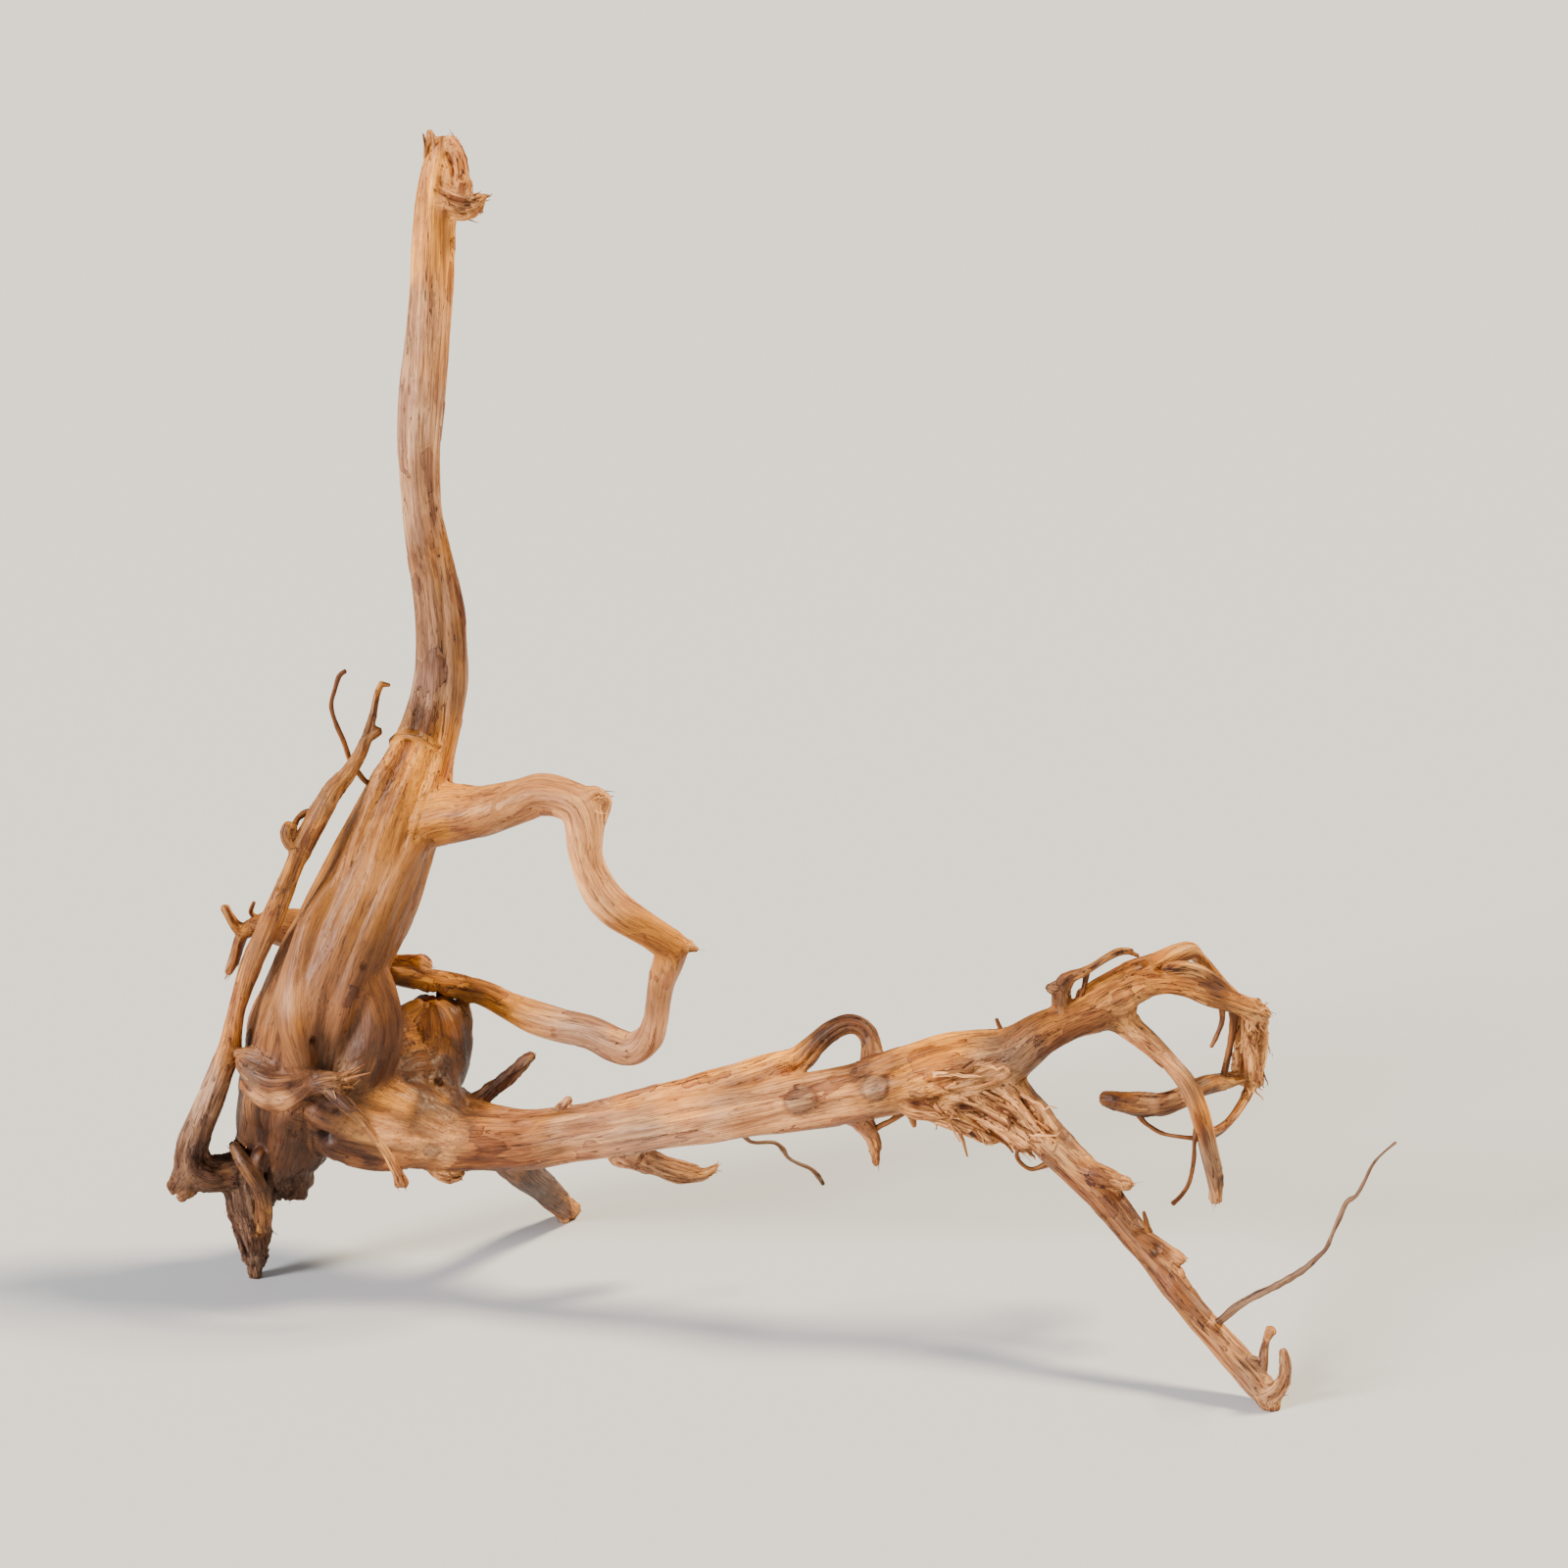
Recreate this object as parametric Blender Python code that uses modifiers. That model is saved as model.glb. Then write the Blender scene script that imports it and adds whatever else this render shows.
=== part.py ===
"""Bogwood: one weathered, bark-stripped root, modelled as one solid.

A leaning trunk rises into a long upright mast. An angular loop leaves the trunk's shoulder and comes
back behind it, a slender whip rises beside it, and an arm runs out to a fork with a curled crown and a
foreleg. The wood stands on three points: a dark root foot, a stub under the arm and the foreleg's toe.

Every limb is a list of stations read off the front view of the wood, as (across, down, depth, half
width). Across, down and half width are in drawing units, on a drawing of 1600 units square. Depth is in
millimetres behind the trunk's middle plane. place() turns a station into metres, +Z up, ground at zero.
"""

import math
import random

import bmesh
import bpy
from mathutils import Matrix, Vector

# Driving dimensions, in metres
DRAWN_SPAN = 0.775  # from the whip's elbow to the long twig's tip, as drawn at the trunk's middle plane
EYE_DISTANCE = 2.0  # from the eye of the front view to the trunk's middle plane
EYE_PITCH = math.radians(15)  # how far the eye looks down
CENTRE_HEIGHT = 0.337  # height of the drawing's centre above the ground
FOOTPRINT_CENTRE = (-0.021, -0.0512)  # moved to the origin: the middle of the bounding box

# The front view's scale
DRAWN_UNITS = 1250
UNIT = DRAWN_SPAN / DRAWN_UNITS
DRAWING_CENTRE = 800
MM = 0.001

# Mesh sizes
VOXEL = 0.0016
SIDES = 20
STEP = 0.004
CAP = 0.7  # a limb's end reaches this share of its radius past its last station
CAP_RINGS = 4
STOUT_TRIANGLES = 9300
TWIG_SIDES_RESOLUTION = 1  # a six-sided tube
GROUND_BLOCK = 2.0
SEED = 11

# How a limb's section is fluted: lobes, depth as a share of the radius, twist in turns a metre
FLUTED = {
    "stem": (7, 0.055, 0.35),
    "base": (6, 0.05, 0.0),
    "arm": (6, 0.045, 0.5),
    "back_limb": (5, 0.05, 0.8),
    "loop": (4, 0.05, 1.2),
    "foreleg": (5, 0.05, 0.8),
    "whip": (4, 0.06, 1.0),
    "burl": (5, 0.05, 0.0),
    "foot": (5, 0.08, 2.0),
}
PLAIN = (5, 0.04, 0.6)

STOUT = {
    # Trunk and mast
    "stem": [
        (303, 1122, 6, 58), (312, 1080, 3, 61), (321, 1040, 2, 60), (333, 1000, 3, 55), (356, 953, 5, 52),
        (381, 897, 8, 50), (401, 845, 10, 46), (413, 812, 11, 42), (424, 785, 12, 37), (434, 757, 12, 32),
        (442, 728, 12, 29), (448, 695, 12, 27), (449, 660, 12, 25), (446, 620, 12, 23), (441, 580, 13, 22),
        (434, 545, 14, 20), (430, 510, 15, 20), (428, 457, 17, 21), (432, 390, 20, 21), (438, 310, 24, 21),
        (442, 240, 28, 21), (446, 190, 31, 19), (450, 162, 33, 16), (451, 150, 33, 15),
    ],
    "mast_ridge": [
        (444, 508, 12, 4), (450, 550, 9, 8), (457, 590, 7, 10), (462, 630, 5, 12), (463, 668, 4.5, 13),
        (462, 705, 3.5, 13), (458, 740, 2.5, 12), (450, 775, 0, 11), (440, 812, -4.5, 11), (428, 850, -8.5, 10),
    ],
    "mast_peak": [(444, 160, 32, 12), (441, 147, 32, 8), (438, 134, 32, 3)],
    "mast_knot": [
        (455, 200, 26, 14), (466, 206, 24, 15), (475, 208, 23, 14), (483, 206, 22, 10), (490, 202, 21, 6),
        (495, 200, 21, 3),
    ],
    "mast_lip": [
        (458, 148, 30, 8), (465, 153, 28, 8), (470, 163, 26, 8), (472, 178, 25, 8), (472, 194, 24, 10),
    ],
    "mast_fill": [(456, 166, 30, 12), (459, 184, 28, 12), (460, 200, 27, 10)],
    "shoulder_lip": [
        (401, 757, 8, 6), (408, 752, 3, 6), (420, 751, -3.5, 6), (433, 755, -5.6, 5), (444, 762, -5, 4),
    ],
    "trunk_ridge_right": [
        (428, 856, -8, 13), (403, 897, -17, 14), (384, 940, -22, 15), (368, 978, -24, 14.5),
        (354, 1015, -26, 14), (344, 1050, -24, 13), (338, 1080, -18, 10),
    ],
    "trunk_ridge_left": [
        (338, 905, -9, 11), (318, 938, -14, 13), (306, 975, -19, 14), (300, 1010, -24, 15),
        (300, 1045, -30, 16), (308, 1080, -33, 15),
    ],
    # Base of the trunk
    "base": [(303, 1105, 8, 56), (294, 1150, 12, 52), (288, 1182, 16, 42), (296, 1206, 18, 22)],
    "base_heel": [(290, 1206, 16, 12), (302, 1216, 15, 10), (308, 1217, 14, 8)],
    "base_collar": [
        (250, 1082, -14, 12), (262, 1092, -21, 16), (282, 1103, -28, 19), (303, 1102, -31, 17),
        (322, 1096, -31, 11),
    ],
    "collar_flap": [
        (248, 1106, -17, 5), (258, 1116, -24, 7), (273, 1124, -30, 9), (290, 1124, -34, 9), (305, 1116, -37, 8),
        (317, 1105, -36, 7), (325, 1094, -32, 6),
    ],
    "collar_top": [
        (246, 1076, -12, 7), (258, 1076, -19, 8), (272, 1080, -24, 8), (284, 1088, -28, 8),
        (300, 1092, -31, 6),
    ],
    "root_lip": [
        (348, 1120, -31, 7), (336, 1132, -30, 7), (327, 1148, -26, 7), (329, 1166, -22, 7),
        (343, 1178, -19, 7),
    ],
    "burl": [(440, 1041, 42, 34), (440, 1064, 44, 38), (437, 1086, 38, 40), (432, 1108, 24, 36)],
    "burl_rim": [(458, 1038, 46, 22), (459, 1060, 47, 23), (456, 1082, 44, 23), (450, 1098, 36, 24)],
    "burl_edge": [
        (468, 1030, 44, 12), (474, 1043, 45, 9), (470, 1058, 45, 10), (471, 1074, 44, 8),
        (466, 1092, 42, 9),
    ],
    "burl_core": [(350, 1080, 8, 34), (382, 1068, 16, 36), (396, 1064, 24, 34)],
    "burl_apron": [(396, 1094, 4, 24), (416, 1090, 16, 28)],
    "burl_lobe": [
        (370, 990, -6, 24), (380, 1020, -9, 29), (382, 1048, -12, 32), (374, 1078, -14, 32),
        (358, 1102, -13, 30),
    ],
    "lobe_crease": [
        (424, 1084, 6, 6), (404, 1097, -8, 9), (384, 1110, -20, 11), (366, 1126, -28, 12),
        (352, 1146, -30, 12),
    ],
    "burl_neck": [(434, 1084, 38, 37), (441, 1108, 24, 29), (450, 1136, 6, 27)],
    "back_root": [(345, 1118, 26, 36), (356, 1130, 44, 26), (364, 1139, 55, 19)],
    "back_stub": [(388, 892, 26, 18), (393, 884, 42, 13), (396, 878, 50, 11)],
    # Dark root foot and what lies over it
    "foot": [
        (268, 1158, 4, 16), (257, 1180, 0, 19), (253, 1203, -2, 23), (255, 1224, -1, 24), (256, 1245, 0, 19),
        (257, 1262, 0, 17), (259, 1277, 0, 13), (260, 1290, 0, 9), (260, 1303, 0, 6),
    ],
    "foot_strip": [
        (239, 1170, -12, 5), (247, 1182, -17, 7), (255, 1194, -20, 8), (264, 1208, -20, 8), (269, 1224, -18, 8),
        (270, 1240, -15, 8), (269, 1254, -11, 6),
    ],
    "foot_ridge": [(263, 1192, -14, 8), (266, 1179, -16, 9), (274, 1172, -15, 6), (287, 1170, -17, 4)],
    "foot_top": [(244, 1182, -6, 8), (240, 1168, -7, 5)],
    # Whip beside the trunk
    "whip": [
        (253, 1196, -4, 17), (230, 1199, -8, 17), (211, 1199, -11, 17), (198, 1189, -12, 17),
        (196, 1171, -13, 14.5), (203, 1148, -14, 13.5), (213, 1124, -13, 12.5), (223, 1100, -10, 11.5),
        (233, 1074, -7, 11), (238, 1050, -8, 9), (243, 1028, -9, 8), (252, 1000, -12, 10),
        (260, 976, -15, 11), (270, 954, -17, 11), (283, 926, -19, 11), (298, 888, -19, 10),
        (309, 862, -17, 10), (321, 838, -14, 10), (337, 811, -9, 9), (348, 797, -6, 8), (357, 786, -4, 7),
        (368, 768, -1, 6), (376, 748, 1, 5), (381, 728, 3, 4), (385, 708, 5, 3.4), (390, 697, 6, 3.4),
    ],
    "whip_end": [(195, 1198, -12, 16), (186, 1210, -12, 13)],
    "whip_stub": [(306, 868, -18, 8), (298, 860, -18, 8), (294, 850, -18, 7), (296, 843, -17, 6)],
    "whip_knob": [(376, 752, 1, 5), (386, 745, 1, 5)],
    # Angular loop, which ends in a forked stub behind the trunk
    "loop": [
        (432, 835, 4, 30), (462, 829, -4, 31), (488, 829, -14, 27), (510, 824, -22, 24), (533, 817, -28, 22),
        (552, 811, -33, 21), (572, 814, -38, 20), (590, 824, -43, 20), (596, 845, -46, 20),
        (597, 868, -48, 18), (603, 892, -50, 17), (614, 914, -50, 18), (631, 931, -47, 18),
        (651, 944, -42, 17), (671, 956, -37, 17), (684, 968, -30, 17), (681, 984, -23, 16),
        (675, 1002, -16, 15), (671, 1022, -9, 14), (668, 1042, -3, 14), (661, 1061, 3, 15),
        (645, 1071, 8, 16), (626, 1066, 12, 16), (602, 1054, 18, 15), (574, 1047, 26, 15),
        (545, 1038, 34, 15), (520, 1027, 40, 13), (495, 1015, 45, 12), (468, 1006, 48, 11),
        (440, 1001, 49, 11), (415, 996, 48, 11), (390, 989, 46, 11), (362, 975, 43, 13), (335, 961, 40, 16),
        (308, 950, 36, 20), (285, 946, 32, 19), (268, 944, 28, 13),
    ],
    "loop_corner": [
        (596, 816, -42, 13), (608, 811, -41, 9), (617, 816, -40, 6), (619, 828, -40, 4.5),
        (616, 842, -42, 4),
    ],
    "loop_ridge": [
        (604, 862, -45, 6), (613, 886, -44, 7.5), (626, 908, -42, 8), (643, 925, -38, 8), (662, 939, -34, 8),
        (681, 952, -30, 7), (694, 962, -30, 6),
    ],
    "loop_spur": [(688, 963, -31, 14), (701, 966, -32, 8), (711, 969, -33, 4)],
    "loop_stub": [
        (380, 975, 42, 6), (400, 980, 40, 6), (418, 981, 38, 6), (430, 984, 36, 9), (434, 986, 36, 8),
    ],
    "tail_up": [
        (264, 943, 28, 10), (249, 950, 26, 8), (240, 944, 25, 6), (234, 934, 24, 5), (230, 926, 24, 5),
    ],
    "tail_down": [
        (251, 948, 26, 7), (244, 960, 25, 6), (240, 974, 24, 5), (236, 986, 23, 5), (233, 992, 22, 4),
    ],
    # Arm and what grows from it
    "arm": [
        (318, 1105, 0, 48), (352, 1124, -2, 55), (388, 1138, -4, 53), (425, 1149, -6, 43), (460, 1160, -9, 32),
        (500, 1164, -12, 28), (540, 1165, -15, 27), (590, 1158, -22, 27), (645, 1151, -30, 27),
        (704, 1142, -38, 28), (763, 1133, -45, 28), (821, 1123, -50, 28), (880, 1114, -56, 29),
        (925, 1102, -61, 33), (965, 1091, -65, 36), (1000, 1084, -68, 33), (1030, 1076, -70, 28),
        (1060, 1056, -70, 23), (1092, 1042, -69, 20), (1120, 1032, -67, 22), (1142, 1022, -64, 24),
    ],
    "back_limb": [
        (446, 1124, 28, 24), (486, 1141, 12, 19), (530, 1147, -3, 16), (590, 1142, -12, 15),
        (640, 1131, -19, 16), (700, 1117, -25, 18), (755, 1103, -30, 18), (792, 1091, -33, 17),
        (815, 1082, -34, 14), (831, 1068, -34, 12), (848, 1053, -34, 11), (866, 1045, -35, 10),
        (880, 1049, -37, 9.5), (888, 1062, -40, 9.5), (890, 1082, -47, 11),
    ],
    "back_twig": [
        (470, 1132, 20, 10), (488, 1122, 18, 8), (505, 1109, 17, 7.5), (520, 1096, 16, 7), (533, 1085, 15, 6.5),
        (540, 1079, 14, 6),
    ],
    "back_knob": [(572, 1131, -10, 6), (580, 1122, -9, 4)],
    "front_stick": [
        (330, 1102, -34, 9), (341, 1115, -42, 8), (354, 1128, -48, 7.5), (368, 1142, -53, 7),
        (384, 1162, -57, 6.5), (397, 1181, -60, 5.5), (405, 1196, -62, 5.5), (409, 1208, -63, 7.5),
    ],
    "stick_knot": [(318, 1108, -32, 10), (335, 1103, -37, 11), (352, 1102, -35, 7), (364, 1099, -31, 3.4)],
    "arm_knot": [(334, 1152, -14, 12), (334, 1160, -22, 10)],
    "under_stub": [
        (515, 1172, -8, 20), (534, 1195, 14, 16), (552, 1210, 48, 14.5), (566, 1223, 76, 13),
        (576, 1233, 92, 11), (579, 1238, 99, 9),
    ],
    "under_spur": [
        (634, 1172, -28, 17), (654, 1182, -24, 13), (676, 1190, -18, 11), (698, 1197, -12, 10.5),
        (716, 1198, -8, 8), (727, 1193, -6, 6), (731, 1189, -5, 4),
    ],
    "under_knob": [(440, 1180, -8, 13), (450, 1190, -9, 12), (460, 1194, -10, 11), (467, 1192, -9, 8)],
    "y_stub": [
        (872, 1135, -56, 12), (884, 1150, -54, 9), (891, 1162, -53, 7), (894, 1176, -53, 5),
        (895, 1187, -53, 3.4),
    ],
    # Torn fork
    "tear": [(938, 1112, -64, 20), (985, 1122, -72, 20), (1020, 1138, -80, 18), (1050, 1160, -88, 16)],
    "tear_splinter": [
        (905, 1112, -66, 9), (925, 1126, -73, 11), (950, 1134, -79, 11), (978, 1147, -85, 9), (1000, 1157, -88, 7),
        (1014, 1165, -89, 4),
    ],
    "tear_strand": [(1008, 1140, -80, 7), (1024, 1154, -86, 5), (1031, 1164, -88, 3.4)],
    "foreleg": [
        (1000, 1090, -66, 22), (1029, 1112, -73, 21), (1052, 1139, -83, 20), (1073, 1166, -91, 18),
        (1097, 1189, -100, 17), (1116, 1208, -108, 16), (1135, 1230, -116, 15), (1152, 1253, -125, 15),
        (1171, 1277, -134, 14), (1190, 1301, -143, 14), (1208, 1325, -152, 13), (1226, 1348, -160, 13),
        (1245, 1369, -168, 13), (1263, 1390, -176, 14), (1280, 1410, -184, 14), (1293, 1426, -190, 11),
        (1297, 1436, -193, 8),
    ],
    "leg_flap": [
        (1100, 1190, -104, 10), (1122, 1199, -112, 10), (1140, 1205, -116, 8), (1151, 1208, -119, 6),
    ],
    "leg_stub": [
        (1160, 1258, -130, 9), (1178, 1269, -136, 8), (1194, 1279, -140, 7), (1205, 1286, -143, 6),
    ],
    "toe_peg": [
        (1284, 1406, -184, 6), (1289, 1394, -184, 4.5), (1290, 1379, -184, 3.8), (1293, 1366, -185, 4),
        (1297, 1358, -186, 6),
    ],
    "toe_nub": [(1289, 1394, -184, 4), (1282, 1388, -183, 4), (1275, 1385, -182, 4)],
    "toe_thumb": [
        (1292, 1424, -191, 10), (1304, 1417, -194, 9), (1311, 1402, -195, 7), (1311, 1388, -195, 5.5),
        (1309, 1379, -195, 3.5),
    ],
    # Curled crown
    "crown_low": [
        (1118, 1031, -66, 17), (1150, 1014, -65, 15), (1175, 1004, -66, 12), (1205, 1005, -69, 10),
        (1237, 1015, -70, 12), (1262, 1024, -63, 11), (1288, 1035, -52, 10),
    ],
    "crown_top": [
        (1110, 1022, -62, 16), (1145, 1000, -58, 14), (1178, 985, -50, 11), (1200, 974, -42, 10), (1215, 970, -36, 9),
        (1226, 980, -32, 6), (1240, 996, -30, 5), (1256, 1013, -34, 4.5), (1272, 1026, -44, 5),
    ],
    "crown_torn": [
        (1278, 1028, -51, 12), (1276, 1042, -48, 16), (1276, 1060, -46, 15), (1276, 1080, -44, 14.5),
        (1276, 1092, -43, 14), (1281, 1104, -43, 9),
    ],
    "crown_web": [
        (1192, 990, -66, 9), (1208, 990, -67, 9), (1224, 994, -68, 9), (1240, 1003, -68, 8),
        (1255, 1014, -64, 8),
    ],
    "crown_finger": [
        (1132, 1030, -66, 18), (1152, 1046, -69, 14), (1172, 1063, -75, 12), (1193, 1084, -82, 10),
        (1211, 1105, -88, 9.5), (1222, 1130, -92, 9.5), (1229, 1155, -95, 9.5), (1235, 1180, -97, 9.5),
        (1240, 1205, -98, 8.5), (1242, 1224, -99, 6.5),
    ],
    "crown_cross": [
        (1276, 1096, -44, 8), (1262, 1101, -50, 7), (1246, 1104, -60, 8), (1228, 1108, -76, 9),
        (1206, 1120, -84, 9.5), (1186, 1127, -86, 10), (1163, 1128, -84, 12), (1142, 1124, -82, 9),
        (1127, 1121, -80, 6),
    ],
    "crown_tie": [
        (1277, 1100, -44, 7), (1272, 1118, -52, 5), (1264, 1132, -62, 4.5), (1253, 1146, -74, 4.5),
        (1243, 1154, -84, 6), (1236, 1157, -92, 6),
    ],
    "curl": [
        (1084, 1036, -70, 10), (1083, 1020, -70, 9.5), (1084, 1008, -71, 8.5), (1092, 998, -72, 7.5),
        (1104, 993, -73, 5.5), (1115, 987, -73, 4.5), (1127, 979, -73, 4.5), (1141, 972, -72, 4.5), (1154, 971, -70, 3.6),
    ],
    "curl_knob": [(1085, 1012, -71, 6), (1076, 1007, -72, 6), (1072, 1009, -72, 5)],
}

TWIGS = {
    "long_twig": [
        (1234, 1353, -162, 5), (1246, 1347, -166, 4.2), (1261, 1334, -170, 4.2), (1281, 1322, -175, 4.0),
        (1302, 1312, -180, 3.8), (1328, 1297, -185, 3.6), (1343, 1284, -189, 3.0), (1353, 1274, -191, 2.6),
        (1360, 1258, -193, 2.5), (1367, 1242, -195, 2.6), (1374, 1227, -197, 2.3), (1384, 1220, -199, 2.0),
        (1392, 1206, -201, 1.9), (1398, 1193, -202, 1.7), (1404, 1184, -203, 1.5), (1413, 1175, -204, 1.4),
        (1424, 1166, -205, 1.7),
    ],
    "side_twig": [
        (392, 808, 9, 3.5), (374, 798, 6, 2.6), (366, 789, 4, 2.9), (358, 778, 4, 2.8), (351, 757, 5, 2.6),
        (343, 739, 5, 2.4), (338, 720, 6, 2.2), (342, 703, 6, 2.4), (346, 690, 6, 2.8), (352, 685, 6, 2.4),
    ],
    "whip_hook": [(390, 698, 6, 3.0), (397, 699, 6, 2.0)],
    "whip_ring": [(328, 830, -11, 4), (315, 828, -7, 3.5), (304, 835, -9, 3.2), (299, 846, -14, 3.8)],
    "tail_spike": [(264, 938, 28, 4), (256, 931, 27, 3), (259, 921, 26, 2.2)],
    "foot_needle": [(282, 1171, -16, 4), (295, 1168, -18, 2.8), (302, 1167, -19, 2)],
    "curl_end": [(1152, 971, -70, 3.4), (1161, 975, -68, 2.3)],
    "curl_link": [(1109, 991, -72, 3.5), (1106, 1007, -70, 2.6), (1101, 1024, -68, 3.4)],
    "fork_thorn": [(1032, 1062, -67, 4), (1022, 1051, -64, 3), (1017, 1040, -63, 2)],
    "crown_drop": [
        (1246, 1018, -67, 4), (1247, 1040, -66, 3), (1242, 1056, -68, 2.6), (1236, 1068, -69, 2.1),
    ],
    "crown_tie_inner": [
        (1259, 1028, -60, 5), (1258, 1050, -56, 3.8), (1255, 1068, -56, 3.4), (1251, 1086, -58, 3.5),
        (1248, 1103, -60, 4),
    ],
    "cross_thread": [
        (1159, 1130, -84, 5), (1166, 1143, -86, 3), (1176, 1151, -88, 2.3), (1188, 1157, -90, 2.1),
        (1206, 1160, -94, 2.1), (1223, 1162, -94, 3),
    ],
    "finger_thread": [
        (1223, 1150, -93, 5), (1219, 1164, -98, 2.6), (1218, 1183, -101, 2.2), (1214, 1205, -103, 2.2),
        (1206, 1219, -105, 2.5), (1197, 1228, -107, 2.8),
    ],
    "leg_ring": [
        (1056, 1164, -86, 3.5), (1042, 1171, -92, 2.2), (1037, 1179, -93, 2), (1043, 1188, -92, 2),
        (1053, 1193, -92, 2.2), (1068, 1188, -92, 3.2),
    ],
    "leg_thorn": [(1173, 1262, -132, 4.5), (1170, 1249, -134, 3), (1167, 1237, -135, 1.8)],
    "under_twig": [
        (755, 1152, -42, 4.5), (763, 1163, -36, 2.4), (771, 1166, -33, 2.1), (790, 1166, -28, 2.1),
        (799, 1173, -26, 2.7), (804, 1181, -24, 2.0), (814, 1187, -20, 2.0), (826, 1192, -17, 2.3),
        (834, 1199, -14, 2.5), (840, 1208, -12, 2.2),
    ],
    "y_link": [(887, 1156, -53, 4), (898, 1149, -56, 3), (910, 1143, -60, 3), (924, 1132, -63, 5)],
    "y_thorn": [(926, 1126, -63, 6), (931, 1141, -64, 4), (933, 1149, -64, 2.2)],
    "stick_thorn": [(296, 1170, -17, 3), (294, 1161, -19, 1.8)],
}

# Torn wood, as the first and the last splinter's root, how far a splinter reaches, its root's half
# width, and how many there are
SPLINTERS = {
    "tear_upper": ((948, 1106, -76), (992, 1102, -80), (36, 16, -7), 3.0, 4),
    "tear_lower": ((928, 1120, -66), (1004, 1136, -78), (40, 20, -8), 3.2, 6),
    "torn_bend": ((1264, 1034, -56), (1282, 1044, -50), (5, 34, -8), 2.4, 4),
    "stick_knot": ((336, 1098, -35), (350, 1105, -35), (22, -9, -10), 1.6, 4),
    "mast_end": ((430, 160, 30), (460, 164, 30), (1, -19, -5), 2.6, 4),
}


def splinter_stations(ends, reach, half_width, count, draw):
    """Stations of a row of splinters, each a little astray in place, length and lean."""
    first, last = ends
    for i in range(count):
        share = (i + 0.5) / count
        root = [a + (b - a) * share + draw.uniform(-2, 2) for a, b in zip(first, last)]
        length = draw.uniform(0.7, 1.25)
        sway = [draw.uniform(-0.16, 0.16) * sum(map(abs, reach)) for _ in range(3)]
        middle = [r + 0.5 * length * d + 0.2 * s for r, d, s in zip(root, reach, sway)]
        tip = [r + length * d + s for r, d, s in zip(root, reach, sway)]
        yield [(*root, half_width), (*middle, 0.8 * half_width), (*tip, 0.35 * half_width)]


def place(across, down, depth, half_width):
    """A station's point and radius in metres, by the eye of the front view."""
    right = (across - DRAWING_CENTRE) * UNIT / EYE_DISTANCE
    up = (DRAWING_CENTRE - down) * UNIT / EYE_DISTANCE
    cos_pitch, sin_pitch = math.cos(EYE_PITCH), math.sin(EYE_PITCH)
    ray = Vector((right, cos_pitch + up * sin_pitch, up * cos_pitch - sin_pitch))
    eye = Vector((0, -EYE_DISTANCE * cos_pitch, CENTRE_HEIGHT + EYE_DISTANCE * sin_pitch))
    along = (depth * MM - eye.y) / ray.y
    point = eye + ray * along - Vector((*FOOTPRINT_CENTRE, 0))
    return point, half_width * UNIT * along / EYE_DISTANCE


def spline_value(a, b, c, d, t):
    """Catmull-Rom value between b and c."""
    return 0.5 * (2 * b + (c - a) * t + (2 * a - 5 * b + 4 * c - d) * t * t + (3 * b - a - 3 * c + d) * t**3)


def smooth_route(stations, step):
    """Points and radii along a smooth curve through the stations, about one step apart."""
    placed = [place(*station) for station in stations]
    ends = [placed[0], *placed, placed[-1]]
    route = []
    for (a, ra), (b, rb), (c, rc), (d, rd) in zip(ends, ends[1:], ends[2:], ends[3:]):
        count = max(1, round((c - b).length / step))
        for i in range(count):
            t = i / count
            route.append((spline_value(a, b, c, d, t), max(spline_value(ra, rb, rc, rd, t), 0.8 * min(rb, rc))))
    return [*route, placed[-1]]


def directions_along(points):
    """Unit tangents of a route."""
    last = len(points) - 1
    return [(points[min(i + 1, last)] - points[max(i - 1, 0)]).normalized() for i in range(last + 1)]


def rings_of(route, flutes):
    """Rings of points of a fluted limb with round ends. Angle zero starts facing the viewer."""
    lobes, depth, twist = flutes
    points = [p for p, _ in route]
    tangents = directions_along(points)
    side = Vector((0, -1, 0)) - tangents[0] * tangents[0].dot(Vector((0, -1, 0)))
    side = side.normalized() if side.length > 0.1 else tangents[0].orthogonal().normalized()
    rings, travelled = [], 0.0
    for i, (point, radius) in enumerate(route):
        if i:
            side = (side - tangents[i] * side.dot(tangents[i])).normalized()
            travelled += (point - points[i - 1]).length
        across = tangents[i].cross(side)
        turn = 2 * math.pi * twist * travelled
        ring = []
        for k in range(SIDES):
            angle = 2 * math.pi * k / SIDES
            wave = math.cos(lobes * angle + turn) + 0.5 * math.cos((lobes - 2) * angle - 1.7 * turn + 1)
            reach = radius * (1 + depth * wave)
            ring.append(point + (side * math.cos(angle) + across * math.sin(angle)) * reach)
        rings.append((ring, point, tangents[i], radius))
    return round_end(rings[0], -1)[::-1] + [ring for ring, *_ in rings] + round_end(rings[-1], 1)


def round_end(ring, way):
    """The shrinking rings that round a limb's end, from the limb outwards."""
    corners, centre, tangent, radius = ring
    made = []
    for k in range(1, CAP_RINGS + 1):
        angle = math.pi / 2 * k / (CAP_RINGS + 0.5)
        shift = tangent * (way * CAP * radius * math.sin(angle))
        made.append([centre + (corner - centre) * math.cos(angle) + shift for corner in corners])
    return made


def loft(bm, rings):
    """One closed skin over a row of rings."""
    loops = [[bm.verts.new(corner) for corner in ring] for ring in rings]
    for low, high in zip(loops, loops[1:]):
        for k in range(SIDES):
            after = (k + 1) % SIDES
            bm.faces.new((low[k], low[after], high[after], high[k]))
    bm.faces.new(loops[0][::-1])
    bm.faces.new(loops[-1])


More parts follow.
